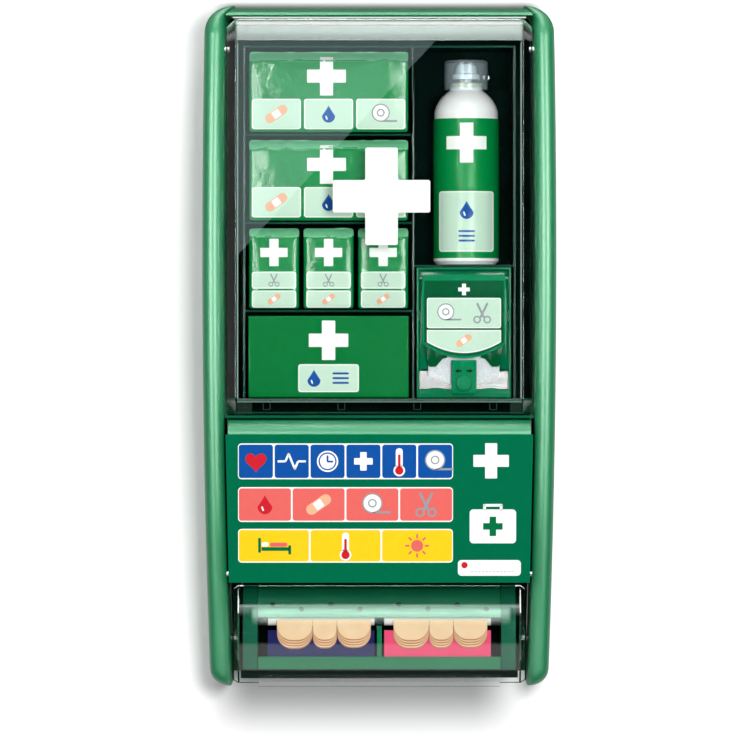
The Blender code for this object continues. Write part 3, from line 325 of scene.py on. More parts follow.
finishes = [
    (railGreen, "green_plastic", 0.6, ["side_panel_left", "side_panel_right"]),
    (greenAbs, "green_plastic", 0.6, ["roof", "info_flap"]),
    (linerGreen, "deep_green_plastic", 0.5, ["liner", "back_panel", "lower_shelf"]),
    (shelfGreen, "deep_green_plastic", 0.5, ["middle_shelf"]),
    (clearDoor, "clear_plastic", 0.35, ["upper_door"]),
    (clearCover, "clear_plastic", 0.35, ["plaster_cover"]),
    (clearCap, "clear_plastic", 0.25, ["spray_cap"]),
    (plateGreen, "printed_plate", 0.3, ["printed_plate"]),
    (lidGreen, "green_plastic", 0.5, ["foam_lid", "cutter_slider", "cutter_knob"]),
    (dispenserGreen, "green_plastic", 0.5, ["foam_tray", "plaster_tray", "plaster_divider"]),
    (drumGreen, "green_plastic", 0.5, ["plaster_shield"]),
    (endGreen, "green_plastic", 0.5, ["plaster_end_left", "plaster_end_right"]),
    (cartonGreen, "green_card", 0.7, ["gel_carton", "reserve_carton"]),
    (navyCard, "blue_card", 0.2, ["refill_card_left"]),
    (pinkCard, "pink_card", 0.2, ["refill_card_right"]),
    (whitePaper, "white_paper", 0.3, ["refill_roll_left", "refill_roll_right"]),
    (blackPlastic, "black_plastic", 0.3, ["refill_rod_left", "refill_rod_right"]),
    (whiteFoam, "white_foam", 0.4, ["foam_roll"]),
    (whitePlastic, "white_plastic", 0.4, ["spray_button", "foam_core"]),
    (whiteLacquer, "white_lacquer", 0.5, ["spray_can"]),
    (giltTin, "gilt_tin", 0.3, ["spray_collar"]),
    (railSteel, "steel", 0.3, ["cutter_rail", "cutter_blade"]),
]
dressed = {}
for finish, slotName, edgeSize, nodeNames in finishes:
    for nodeName in nodeNames:
        crease = 15 if nodeName == "upper_door" else 38  # the door keeps the sharp crease under its crown
        dressed[nodeName] = dress(nodeName, finish, edgeSize, crease)
for nodeName, node in nodes.items():  # pins and screws keep their solids and take a rolled steel finish
    if "_pin" in nodeName or "_screw_" in nodeName:
        node.data.materials.clear()
        node.data.materials.append(pinSteel)
# painted highlight: the forward-facing rims of the cells take the lighter copy of the liner green
linerMesh = dressed["liner"].data  # the front rims of the cells catch the light
linerMesh.materials.append(rimHighlightGreen)
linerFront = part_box("liner")[0].y
for face in linerMesh.polygons:
    if face.normal.y < -0.7 and face.center.y < linerFront + 0.6 * mm:
        face.material_index = 1
print("dressed", len(dressed), "nodes")


# soft packs: film wrapped round a folded dressing

filmPack = {"clear": 0.6, "round": 2.4, "voxel": 1.8, "puff": 2.2, "smallPuff": 1.6, "foldHeight": 7.5,
            "foldLean": 11.0, "foldWander": 1.6, "foldWave": 9.0, "crumple": 0.6, "crumpleSize": 15.0}


def foldLine(top, x, seed):  # the folded strip of film ends on a line that wanders a little
    wander = noise.noise(Vector((x / (filmPack["foldWave"] * mm), seed * 40, 0)))
    return top - (filmPack["foldHeight"] + filmPack["foldWander"] * wander) * mm


def softPack(nodeName, puff):
    low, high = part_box(nodeName)
    size, middle = high - low, (low + high) / 2
    deselectAll()
    bpy.ops.mesh.primitive_cube_add(size=1.0, location=middle)
    pack = bpy.context.object
    pack.name = camelName(nodeName)
    pack.scale = size - Vector([filmPack["clear"]] * 3) * mm
    settle()
    openMesh()
    bpy.ops.mesh.bevel(offset=filmPack["round"] * mm, segments=3, affect="EDGES")
    closeMesh()
    pack.data.remesh_voxel_size = filmPack["voxel"] * mm
    bpy.ops.object.voxel_remesh()
    for point in pack.data.vertices:
        u = 2 * (point.co.x - middle.x) / size.x
        v = 2 * (point.co.z - middle.z) / size.z
        front = max(0.0, (middle.y - point.co.y) / (size.y / 2))  # 1 at the front face
        crown = (1 - abs(u) ** 5) * (1 - abs(v) ** 5)
        over = point.co.z - foldLine(high.z, point.co.x, middle.z)
        past = max(0.0, over / (filmPack["foldHeight"] * mm))  # the folded top leans back
        point.co.y += front ** 4 * (puff * (1 - crown) + filmPack["foldLean"] * past) * mm
    crumple = bpy.data.textures.new("filmCrumple", "CLOUDS")
    crumple.noise_scale = filmPack["crumpleSize"] * mm
    finishWith(pack, "DISPLACE", texture=crumple, texture_coords="LOCAL", strength=filmPack["crumple"] * mm,
               mid_level=1.0)
    finishWith(pack, "SUBSURF", levels=1, render_levels=1)
    bpy.ops.object.shade_smooth()
    pack.data.materials.append(filmGreen)
    pack.data.materials.append(filmFoldHighlight)  # painted highlight: the strip folded over at the top takes a paler green, as if it caught light from above
    for face in pack.data.polygons:
        face.material_index = int(face.center.z > foldLine(high.z, face.center.x, middle.z))
    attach(pack, nodes[nodeName]["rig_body"])
    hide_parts(nodeName)
    return pack


largePacks = ("wound_pouch_upper", "wound_pouch_lower")
smallPacks = ("mini_pouch_1", "mini_pouch_2", "mini_pouch_3")
packs = {name: softPack(name, filmPack["puff"]) for name in largePacks}
packs.update({name: softPack(name, filmPack["smallPuff"]) for name in smallPacks})
print("soft packs made:", len(packs))


# plasters: cloth strips with round ends, a few in each stack

plasterStrips = {"widths": (29.0, 19.5, 27.5), "layers": 8, "stagger": 1.05, "shorter": 0.4, "gap": 0.12,
                 "between": 0.3, "end": 0.42, "inset": (6.5, 1.9)}


def plasterStack(nodeName):
    low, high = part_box(nodeName)
    widths = plasterStrips["widths"]
    leftInset, rightInset = plasterStrips["inset"]  # the paper roll shows at both ends
    stretch = (high.x - low.x - (leftInset + rightInset) * mm) / (sum(widths) * mm)
    layers = plasterStrips["layers"]
    pitch = (high.y - low.y) / layers
    made = []
    left = low.x + leftInset * mm
    for number, width in enumerate(widths):
        wide = width * stretch * mm
        for layer in range(layers):
            shorter = layer * plasterStrips["stagger"] + plasterStrips["shorter"] * number
            tall = (high.z - low.z) - shorter * mm
            deselectAll()
            bpy.ops.mesh.primitive_plane_add(size=1.0)
            strip = bpy.context.object
            strip.scale = (wide - plasterStrips["between"] * mm, tall, 1.0)
            settle()
            bpy.ops.object.mode_set(mode="EDIT")
            bpy.ops.mesh.select_mode(type="VERT")
            closeMesh()
            selectPoints(strip, lambda co: co.y < 0)
            bpy.ops.object.mode_set(mode="EDIT")
            bpy.ops.mesh.bevel(offset=wide * plasterStrips["end"], segments=10, affect="VERTICES")
            closeMesh()
            strip.rotation_euler = (math.pi / 2, 0, 0)
            strip.location = (left + wide / 2, high.y - pitch * layer - plasterStrips["gap"] * mm,
                              high.z - tall / 2)
            settle()
            finishWith(strip, "SOLIDIFY", thickness=pitch - plasterStrips["gap"] * mm, offset=1.0)
            # every other layer is darker, which draws darker lines between the layers of the stack
            strip.data.materials.append(plasterCloth if layer % 2 else plasterDarkerLayer)
            made.append(strip)
        left += wide
    deselectAll()
    for strip in made:
        strip.select_set(True)
    bpy.context.view_layer.objects.active = made[0]
    bpy.ops.object.join()
    stack = bpy.context.object
    stack.name = camelName(nodeName)
    bpy.ops.object.shade_smooth_by_angle(angle=math.radians(40))
    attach(stack, nodes[nodeName]["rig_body"])
    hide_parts(nodeName)


for stackName in ("plaster_stack_left", "plaster_stack_right"):
    plasterStack(stackName)
print("plasters made")


# bandage dispenser: what shows round the lid

dispenser = {"wall": 2.4, "webBehind": 7.5, "webThick": 1.2, "webLow": 18.0, "webTop": 2.4,
             "cheekReach": 9.0, "cheekLow": 84.0, "guideAhead": 2.6, "guideThick": 0.8, "guideWidth": 18.0,
             "guideOut": 2.4, "guideTop": 14.0, "guideFoot": -20.0, "stripRise": 7.2, "stripThick": 1.2,
             "stripBehind": 0.15, "stripWave": 0.25, "lipAhead": 0.8, "lipThick": 1.6, "lipLow": 0.4,
             "lipHeight": 7.4, "lipWave": 0.8}
# lower edge of a guide: share of its width, height in mm
guideEdge = [(0.0, -1.0), (0.14, -17.3), (0.48, -17.3), (0.80, -10.6), (1.0, -9.8)]


def standSheet(name, low, high, y, columns, rows):
    deselectAll()
    bpy.ops.mesh.primitive_grid_add(x_subdivisions=columns, y_subdivisions=rows, size=1.0,
                                    location=((low.x + high.x) / 2, y, (low.z + high.z) / 2),
                                    rotation=(math.pi / 2, 0, 0))
    sheet = bpy.context.object
    sheet.name = name
    sheet.scale = (high.x - low.x, high.z - low.z, 1.0)
    settle()
    return sheet


def finishSheet(sheet, thickness, material, edge=0.15):
    pickUp(sheet)
    finishWith(sheet, "SOLIDIFY", thickness=thickness * mm, offset=-1.0)
    finishWith(sheet, "BEVEL", width=edge * mm, segments=2, limit_method="ANGLE")
    bpy.ops.object.shade_smooth_by_angle(angle=math.radians(35))
    sheet.data.materials.append(material)
    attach(sheet, "cabinet")


trayLow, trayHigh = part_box("foam_tray")
trayWall = dispenser["wall"] * mm
webY = trayLow.y + dispenser["webBehind"] * mm
web = standSheet("foamTrayWeb", Vector((trayLow.x + trayWall, 0, trayHigh.z - dispenser["webLow"] * mm)),
                 Vector((trayHigh.x - trayWall, 0, trayHigh.z - dispenser["webTop"] * mm)), webY, 2, 2)
finishSheet(web, dispenser["webThick"], dispenserGreen)

for hand, edge, sign in (("Left", trayLow.x, 1), ("Right", trayHigh.x, -1)):
    ends = sorted((edge + sign * trayWall, edge + sign * dispenser["cheekReach"] * mm))
    cheek = standSheet("foamTrayCheek" + hand, Vector((ends[0], 0, trayHigh.z - dispenser["cheekLow"] * mm)),
                       Vector((ends[1], 0, trayHigh.z - dispenser["webLow"] * mm)), webY, 2, 2)
    finishSheet(cheek, dispenser["webThick"], dispenserGreen)

stripLow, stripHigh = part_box("foam_strip")
stripMiddle = (stripLow.x + stripHigh.x) / 2
stripHalf = (stripHigh.x - stripLow.x) / 2
for hand, sign in (("Left", -1), ("Right", 1)):
    outer = stripMiddle + sign * (stripHalf + dispenser["guideOut"] * mm)
    inner = outer - sign * dispenser["guideWidth"] * mm
    guide = standSheet("foamGuide" + hand, Vector((min(outer, inner), 0, dispenser["guideFoot"] * mm)),
                       Vector((max(outer, inner), 0, dispenser["guideTop"] * mm)),
                       stripLow.y - dispenser["guideAhead"] * mm, 16, 1)
    for point in guide.data.vertices:
        if point.co.z < 0:
            share = abs(point.co.x - outer) / (dispenser["guideWidth"] * mm)
            for (a, za), (b, zb) in zip(guideEdge, guideEdge[1:]):
                if a <= share <= b + 1e-6:
                    point.co.z = (za + (zb - za) * (share - a) / (b - a)) * mm
    finishSheet(guide, dispenser["guideThick"], darkFlapGreen)

strip = standSheet("foamStrip", stripLow, stripHigh, stripLow.y + dispenser["stripBehind"] * mm, 40, 24)
for point in strip.data.vertices:
    out = abs(point.co.x - stripMiddle) / stripHalf
    down = (stripHigh.z - point.co.z) / (stripHigh.z - stripLow.z)
    point.co.z += down * dispenser["stripRise"] * mm * max(0.0, out - 0.3) / 0.7
    ripple = math.sin(point.co.x * 230) * math.sin(point.co.z * 170)
    point.co.y += dispenser["stripWave"] * mm * (0.6 + 0.4 * ripple)
finishSheet(strip, dispenser["stripThick"], whiteFoam)
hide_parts("foam_strip")

lip = standSheet("foamTrayLip", Vector((trayLow.x + trayWall, 0, trayLow.z + dispenser["lipLow"] * mm)),
                 Vector((trayHigh.x - trayWall, 0, trayLow.z + dispenser["lipHeight"] * mm)),
                 stripLow.y - dispenser["lipAhead"] * mm, 60, 1)
for point in lip.data.vertices:
    if point.co.z > trayLow.z + 2 * mm:
        reach = abs(point.co.x - stripMiddle) / mm
        point.co.z += dispenser["lipWave"] * mm * math.cos(reach * 0.28)
finishSheet(lip, dispenser["lipThick"], dispenserGreen)
print("dispenser fittings made")


# prints: flat shapes drawn in X and Y in millimetres, stood up and laid on what carries them

def layAt(shape, u, v, turn=0.0):
    shape.rotation_euler = (0, 0, math.radians(turn))
    shape.location = (u * mm, v * mm, 0)
    settle()
    return shape


def drawBar(u, v, width, height, radius, turn=0.0):
    deselectAll()
    bpy.ops.mesh.primitive_plane_add(size=1.0)
    bar = bpy.context.object
    bar.scale = (width * mm, height * mm, 1.0)
    settle()
    if radius:
        openMesh()
        bpy.ops.mesh.bevel(offset=radius * mm, segments=5, affect="VERTICES")
        closeMesh()
    return layAt(bar, u, v, turn)


def drawDisc(u, v, radius):
    deselectAll()
    bpy.ops.mesh.primitive_circle_add(vertices=28, radius=radius * mm, fill_type="NGON")
    return layAt(bpy.context.object, u, v)


def drawRing(u, v, radius, hole):
    deselectAll()
    bpy.ops.mesh.primitive_circle_add(vertices=28, radius=radius * mm)
    ring = bpy.context.object
    openMesh()
    bpy.ops.mesh.extrude_edges_move()
    bpy.ops.transform.resize(value=(hole / radius, hole / radius, 1))
    closeMesh()
    return layAt(ring, u, v)


def drawWedge(u, v, radius, turn):
    deselectAll()
    bpy.ops.mesh.primitive_circle_add(vertices=3, radius=radius * mm, fill_type="NGON")
    return layAt(bpy.context.object, u, v, turn)


def drawDrop(u, v, radius):
    drop = drawDisc(0, 0, radius)
    for point in drop.data.vertices:
        rise = max(0.0, point.co.y / (radius * mm))
        point.co.x *= max(0.0, 1 - rise) ** 0.62
        point.co.y *= 1 + 0.6 * rise
    return layAt(drop, u, v)


def drawHeart(u, v, radius):
    heart = drawDisc(0, 0, radius)
    for point in heart.data.vertices:
        turn = math.atan2(point.co.x, point.co.y)
        point.co.x = radius * mm * math.sin(turn) ** 3
        point.co.y = radius * mm * (13 * math.cos(turn) - 5 * math.cos(2 * turn) - 2 * math.cos(3 * turn)
                                    - math.cos(4 * turn)) / 16
    return layAt(heart, u, v)


def drawCross(u, v, size, arm, radius):
    deselectAll()
    bpy.ops.mesh.primitive_circle_add(vertices=12, radius=1.0, fill_type="NGON")
    cross = bpy.context.object
    h, a = size / 2 * mm, arm / 2 * mm
    corners = [(h, -a), (h, a), (a, a), (a, h), (-a, h), (-a, a),
               (-h, a), (-h, -a), (-a, -a), (-a, -h), (a, -h), (a, -a)]
    ring = cross.data.polygons[0].vertices
    for number, (x, y) in zip(ring, corners):
        cross.data.vertices[number].co = (x, y, 0)
    openMesh()
    bpy.ops.mesh.bevel(offset=radius * mm, segments=4, affect="VERTICES")
    closeMesh()
    return layAt(cross, u, v)


def drawApron(u, v, width, height, sag):
    # a panel whose lower edge bows down by sag in the middle
    deselectAll()
    bpy.ops.mesh.primitive_grid_add(x_subdivisions=20, y_subdivisions=1, size=1.0)
    apron = bpy.context.object
    apron.scale = (width * mm, height * mm, 1.0)
    settle()
    for point in apron.data.vertices:
        if point.co.y < 0:
            point.co.y -= sag * mm * (1 - (2 * point.co.x / (width * mm)) ** 2)
    return layAt(apron, u, v)


drawers = {"bar": drawBar, "disc": drawDisc, "ring": drawRing, "wedge": drawWedge, "drop": drawDrop,
           "heart": drawHeart, "cross": drawCross, "apron": drawApron}

# each motif is about 10 mm across: ink, layer over the ground, kind, sizes
motifs = {
    "plaster": [("peach", 0, "bar", 0, 0, 12.0, 4.6, 2.2, 35), ("white", 1, "bar", 0, 0, 3.8, 3.6, 0.4, 35)],
    "droplet": [("blue", 0, "drop", 0, -1.0, 3.2), ("white", 1, "bar", -1.0, -1.8, 0.7, 2.0, 0.3, 20)],
    "blood": [("red", 0, "drop", 0, -1.0, 3.2), ("white", 1, "bar", -1.0, -1.8, 0.7, 2.0, 0.3, 20)],
    "roll": [("grey", 0, "disc", 0, 0.6, 4.4), ("white", 1, "disc", 0, 0.6, 3.8),
             ("grey", 2, "ring", 0, 0.6, 1.9, 1.3), ("grey", 0, "bar", 4.0, -3.4, 8.0, 0.9, 0.3, 0)],
    "heart": [("red", 0, "heart", 0, 0, 4.6)],
    "pulse": [("white", 0, "bar", x, y, length, 0.9, 0.3, turn) for x, y, length, turn in (
        (-4.4, 0, 3.4, 0), (-2.0, 1.7, 4.0, 66), (0.0, 0, 7.4, -68), (2.0, -1.7, 4.0, 66), (4.4, 0, 3.4, 0))],
    "scissors": [("grey", 0, "ring", -2.6, -3.4, 2.0, 1.2), ("grey", 0, "ring", 2.6, -3.4, 2.0, 1.2),
                 ("grey", 0, "bar", 0.9, 1.4, 8.4, 1.1, 0.4, 64),
                 ("grey", 1, "bar", -0.9, 1.4, 8.4, 1.1, 0.4, 116)],
    "thermometer": [("white", 0, "bar", 0, 1.2, 3.0, 9.0, 1.4, 0), ("white", 0, "disc", 0, -4.0, 2.5),
                    ("red", 1, "disc", 0, -4.0, 1.8), ("red", 1, "bar", 0, 0, 1.1, 6.0, 0.5, 0)],
    "clock": [("white", 0, "disc", 0, 0, 4.6), ("blue", 1, "ring", 0, 0, 3.9, 3.3),
              ("blue", 1, "bar", 0, 1.2, 0.8, 2.8, 0.3), ("blue", 1, "bar", 1.1, -0.1, 2.6, 0.8, 0.3)],
    "bed": [("leaf", 0, "bar", 0.6, -1.4, 12.0, 1.6, 0.4), ("leaf", 0, "bar", -6.2, 0.2, 1.2, 6.4, 0.4),
            ("leaf", 0, "bar", 6.8, -1.8, 1.2, 4.0, 0.4), ("white", 0, "bar", -3.8, 0.6, 3.0, 1.8, 0.8),
            ("coral", 0, "bar", 2.0, 0.5, 7.6, 1.8, 0.8)],
    "sun": [("coral", 0, "disc", 0, 0, 2.6)] + [
        ("coral", 0, "bar", 4.2 * math.cos(ray), 4.2 * math.sin(ray), 1.9, 0.8, 0.3, math.degrees(ray))
        for ray in [math.pi / 4 * i for i in range(8)]],
    "plus": [("white", 0, "cross", 0, 0, 8.0, 2.8, 0.3)],
    "waves": [("blue", 0, "bar", 0, y, 9.0, 1.1, 0.5) for y in (2.6, 0, -2.6)],
}


def motif(name, u, v, scale, ground):
    shapes = []
    for ink, layer, kind, x, y, *sizes in motifs[name]:
        lengths = 3 if kind == "bar" else len(sizes)  # a bar's fourth number is its turn
        sizes = [s * scale for s in sizes[:lengths]] + list(sizes[lengths:])
        shapes.append((ink, ground + layer, kind, u + x * scale, v + y * scale, *sizes))
    return shapes


def tile(u, v, width, height, radius=2.2, border=0.9):
    return [("white", 0, "bar", u, v, width, height, radius),
            ("mint", 1, "bar", u, v, width - 2 * border, height - 2 * border, radius - 0.6 * border)]


inkLay = {"lift": 0.08, "step": 0.07, "thick": 0.04, "wrapPitch": 2.0, "flatPitch": 16.0}


def layInk(name, carrier, body, shapes, place, tilt=0.0, wrap=False):
    groups = {}
    for ink, layer, kind, *sizes in shapes:
        groups.setdefault((layer, ink), []).append(drawers[kind](*sizes))
    for (layer, ink), parts in sorted(groups.items()):
        deselectAll()
        for part in parts:
            part.select_set(True)
        bpy.context.view_layer.objects.active = parts[0]
        if len(parts) > 1:
            bpy.ops.object.join()
        sheet = bpy.context.object
        sheet.name = name + ink.capitalize() + str(layer)
        lift = (inkLay["lift"] + inkLay["step"] * layer) * mm
        pitch = inkLay["wrapPitch" if wrap else "flatPitch"] * mm  # slices let it follow the face under it
        corners = [Vector(corner) for corner in sheet.bound_box]
        openMesh()
        bpy.ops.mesh.quads_convert_to_tris()
        closeMesh()
        for face in sheet.data.polygons:
            face.select = face.normal.z < 0
        bpy.ops.object.mode_set(mode="EDIT")
        bpy.ops.mesh.flip_normals()
        for axis in (Vector((1, 0, 0)), Vector((0, 1, 0))):
            first = math.floor(min(c.dot(axis) for c in corners) / pitch)
            last = math.ceil(max(c.dot(axis) for c in corners) / pitch)
            for number in range(first, last):
                bpy.ops.mesh.select_all(action="SELECT")
                bpy.ops.mesh.bisect(plane_co=axis * (number + 0.37) * pitch, plane_no=axis)
        closeMesh()
        sheet.rotation_euler = (math.pi / 2 + tilt, 0, 0)
        sheet.location = place if wrap else place + lift * Vector((0, -math.cos(tilt), -math.sin(tilt)))
        settle()
        if wrap:
            finishWith(sheet, "SHRINKWRAP", target=carrier, wrap_method="PROJECT", use_project_y=True,
                       use_positive_direction=True, offset=lift)
        finishWith(sheet, "SOLIDIFY", thickness=inkLay["thick"] * mm, offset=-1.0)
        sheet.data.materials.clear()
        sheet.data.materials.append(inks[ink])
        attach(sheet, body)


def frontOf(nodeName, ahead=0.0):
    low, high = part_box(nodeName)
    return Vector(((low.x + high.x) / 2, low.y - ahead * mm, (low.z + high.z) / 2))


# large packs: sign above, three tiles below
packPrint = [("white", 0, "cross", -1.7, 13.0, 32.0, 10.8, 0.6)]
for u, name in ((-43.0, "plaster"), (0.0, "droplet"), (43.0, "roll")):
    packPrint += tile(u, -18.2, 40.5, 25.0) + motif(name, u, -18.2, 1.7, 2)
for nodeName in largePacks:
    layInk(camelName(nodeName) + "Print", packs[nodeName], "cabinet", packPrint,
           frontOf(nodeName, 20.0), wrap=True)

# small packs: sign above, two wide tiles below
miniPrint = [("white", 0, "cross", 0, 13.2, 22.5, 7.6, 0.5)]
for v, name in ((-9.6, "scissors"), (-25.2, "plaster")):
    miniPrint += tile(0, v, 36.5, 14.0, 2.0, 0.8) + motif(name, 0, v, 1.0, 2)
for nodeName in smallPacks:
    layInk(camelName(nodeName) + "Print", packs[nodeName], "cabinet", miniPrint,
           frontOf(nodeName, 20.0), wrap=True)

# gel carton: sign above, one wide tile below
gelPrint = [("white", 0, "cross", 0, 13.6, 32.5, 11.0, 0.6)]
gelPrint += tile(0, -17.6, 50.0, 23.0)
gelPrint += motif("droplet", -12.0, -17.6, 1.7, 2) + motif("waves", 10.0, -17.6, 1.5, 2)
layInk("gelCartonPrint", dressed["gel_carton"], "cabinet", gelPrint, frontOf("gel_carton"))

# door sign, on the inner face so that the outside wipes clean
doorSign = {"size": 79.5, "arm": 26.5, "x": 1.8, "z": 122.0, "wall": 2.0, "gap": 0.15}
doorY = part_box("upper_door")[0].y
doorFace = Vector((doorSign["x"] * mm, doorY + (doorSign["wall"] + doorSign["gap"]) * mm, doorSign["z"] * mm))
layInk("doorSign", dressed["upper_door"], "upper_door",
       [("white", 0, "cross", 0, 0, doorSign["size"], doorSign["arm"], 1.6)], doorFace)

# painted highlights on the door: a grey line down each side and one along the bend at the foot, and a pale
# line on the upper edge under the roof, stand in for light caught where the pane bends; four U-shaped clips
# are drawn on the slope below the foot line
doorLines = {"sink": 0.3, "sideX": 115.6, "sideWidth": 0.9, "sideHeight": 290.0, "sideZ": 102.0,
             "headY": -105.5, "headZ": 268.7, "headWidth": 240.0, "headHeight": 1.1,
             "footZ": -44.9, "footTurn": 35.3, "footWidth": 232.0, "footHeight": 0.9,
             "clips": (-92.0, -31.0, 31.0, 93.0)}
sideShapes = [("seam", 0, "bar", x, 0, doorLines["sideWidth"], doorLines["sideHeight"], 0.3)
              for x in (-doorLines["sideX"], doorLines["sideX"])]
headShapes = [("pale", 0, "bar", 0, 0, doorLines["headWidth"], doorLines["headHeight"], 0.3)]
footShapes = [("seam", 0, "bar", 0, -0.9, doorLines["footWidth"], doorLines["footHeight"], 0.3)]
for u in doorLines["clips"]:
    footShapes += [("clip", 0, "bar", u - 2.8, -5.4, 0.5, 6.4, 0.2),
                   ("clip", 0, "bar", u + 2.8, -5.4, 0.5, 6.4, 0.2),
                   ("clip", 0, "bar", u, -8.8, 5.2, 0.5, 0.2)]
doorLineY = doorY + doorLines["sink"] * mm
for name, shapes, y, z, turn in (
        ("doorSideSeam", sideShapes, doorLineY, doorLines["sideZ"] * mm, 0.0),
        ("doorHeadBead", headShapes, doorLines["headY"] * mm, doorLines["headZ"] * mm, 0.0),
        ("doorFootSeam", footShapes, doorLineY, doorLines["footZ"] * mm, doorLines["footTurn"])):
    layInk(name, dressed["upper_door"], "upper_door", shapes, Vector((0, y, z)),
           tilt=math.radians(turn))

# spray can: a wrapped label with the sign and one tall tile
canLabel = {"low": 72.5, "high": 188.0, "proud": 0.15, "thick": 0.1, "dome": 27.4, "neck": 0.5}
canLow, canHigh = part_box("spray_can")
canMiddle = (canLow + canHigh) / 2
canRadius = (canHigh.x - canLow.x) / 2
labelZ = (canLabel["high"] + canLabel["low"]) / 2 * mm
for point in dressed["spray_can"].data.vertices:  # the shoulder is drawn in to a long dome under the cap
    out = Vector((point.co.x - canMiddle.x, point.co.y - canMiddle.y))
    rise = (point.co.z / mm - canLabel["high"]) / canLabel["dome"]
    if rise > 0 and out.length > canRadius * canLabel["neck"]:
        domed = canRadius * max(canLabel["neck"], math.sqrt(max(0.0, 1 - rise ** 2)))
        out *= min(1.0, domed / out.length)
        point.co.x, point.co.y = canMiddle.x + out.x, canMiddle.y + out.y
deselectAll()
bpy.ops.mesh.primitive_cylinder_add(vertices=96, radius=canRadius + canLabel["proud"] * mm,
                                    depth=(canLabel["high"] - canLabel["low"]) * mm, end_fill_type="NOTHING",
                                    location=(canMiddle.x, canMiddle.y, labelZ))
label = bpy.context.object
label.name = "canLabel"
settle()
finishWith(label, "SOLIDIFY", thickness=canLabel["thick"] * mm)
bpy.ops.object.shade_smooth_by_angle(angle=math.radians(40))
label.data.materials.append(canGreen)
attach(label, "cabinet")
canPrint = [("white", 0, "cross", 0, 37.5, 33.0, 11.0, 0.5)] + tile(0, -27.5, 45.0, 50.0)
canPrint += motif("droplet", 0, -18.0, 1.8, 2) + motif("waves", 0, -39.5, 1.5, 2)
layInk("canPrint", label, "cabinet", canPrint, Vector((canMiddle.x, canLow.y - 0.03, labelZ)),
       wrap=True)

# bandage dispenser: label on the lid
lidLow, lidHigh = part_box("foam_lid")
lidPlace = Vector(((lidLow.x + lidHigh.x) / 2, lidLow.y, 0))
lidPrint = [("lid", 0, "apron", 0, 28.4, 65.5, 50.6, 11.6), ("white", 1, "cross", 0, 46.4, 9.5, 3.2, 0.2)]
lidPrint += [("white", 1, "bar", 0, 27.0, 61.0, 25.0, 1.6), ("mint", 2, "bar", 0, 27.0, 59.4, 23.4, 1.2),
             ("white", 1, "apron", 0, 8.0, 61.0, 10.0, 9.0), ("mint", 2, "apron", 0, 8.0, 59.4, 8.4, 8.8)]
lidPrint += motif("roll", -15.0, 27.0, 1.6, 3) + motif("scissors", 15.0, 27.0, 1.6, 3)
lidPrint += motif("plaster", 0, 4.4, 1.2, 3)
layInk("foamLidPrint", dressed["foam_lid"], "foam_lid", lidPrint, lidPlace)

# cutter slider: arrows that show which way it slides
arrows = []
for sign in (-1, 1):
    arrows += [("black", 0, "bar", sign * 3.6, 0, 3.4, 1.5, 0.1),
               ("black", 0, "wedge", sign * 5.6, 0, 2.0, -90 * sign)]
layInk("sliderArrows", dressed["cutter_slider"], "cutter", arrows,
       frontOf("cutter_slider") + Vector((0, 0, 5.0 * mm)))

# flap plate: three coloured bands at the left, sign and case at the right
plateMesh = nodes["printed_plate"].data
plateFace = max((p for p in plateMesh.polygons if p.normal.y < -0.5), key=lambda p: p.area)
plateTilt = -math.asin(plateFace.normal.z)
plateBands = {"z": -133.0, "middle": -27.7, "width": 176.0, "corner": 3.0, "gap": 1.4, "rim": 2.0}
plateZ = plateBands["z"] * mm
plateY = plateFace.center.y - (plateZ - plateFace.center.z) * math.tan(plateTilt)
bandRows = [  # height of the middle, band height, ink, motifs
    (38.6, 29.5, "blue", ("heart", "pulse", "clock", "plus", "thermometer", "roll")),
    (3.0, 28.7, "coral", ("blood", "plaster", "roll", "scissors")),
    (-31.0, 27.9, "yellow", ("bed", "thermometer", "sun")),
]
platePrint = []
for v, tall, ink, names in bandRows:
    middle, wide = plateBands["middle"], plateBands["width"]
    cell = wide / len(names)
    platePrint.append(("white", 0, "bar", middle, v, wide, tall, plateBands["corner"]))
    for number, name in enumerate(names):
        u = middle - wide / 2 + cell * (number + 0.5)
        platePrint.append((ink, 1, "bar", u, v, cell - plateBands["gap"], tall - plateBands["rim"], 2.2))
        platePrint += motif(name, u, v, 1.9, 2)
platePrint.append(("white", 0, "cross", 91.5, 39.0, 29.0, 9.8, 0.5))
platePrint += [("white", 0, "bar", 93.0, -15.0, 38.0, 28.0, 3.0),
               ("white", 0, "bar", 93.0, 2.4, 16.0, 2.2, 1.0),
               ("white", 0, "bar", 86.2, 0.6, 2.2, 5.0, 0.8), ("white", 0, "bar", 99.8, 0.6, 2.2, 5.0, 0.8),
               ("leaf", 1, "cross", 93.0, -15.0, 16.0, 5.4, 0.4),
               ("white", 0, "bar", 90.2, -49.3, 51.6, 13.0, 3.0), ("red", 1, "disc", 69.8, -47.0, 2.6)]
platePrint += [("grey", 1, "bar", 76.0 + 3.0 * i, -52.4, 1.9, 0.5, 0.1) for i in range(12)]
layInk("platePrint", dressed["printed_plate"], "info_flap", platePrint,
       Vector((0, plateY, plateZ)), tilt=plateTilt)
print("prints laid")


# studio: white wall, soft key from the front right, cards that only reflections see

scene = bpy.context.scene
scene.view_settings.view_transform = "Standard"


def frontOnly(tree, front):
    # a sheet that isn't there when seen from behind, as it is when the part is turned round
    back = addNode(tree, "NewGeometry", {}).outputs["Backfacing"]
    clear = addNode(tree, "BsdfTransparent", {})
    mixed = addNode(tree, "MixShader", {0: back, 1: front, 2: clear.outputs[0]})
    plug(tree, tree.nodes["Material Output"], {"Surface": mixed.outputs[0]})


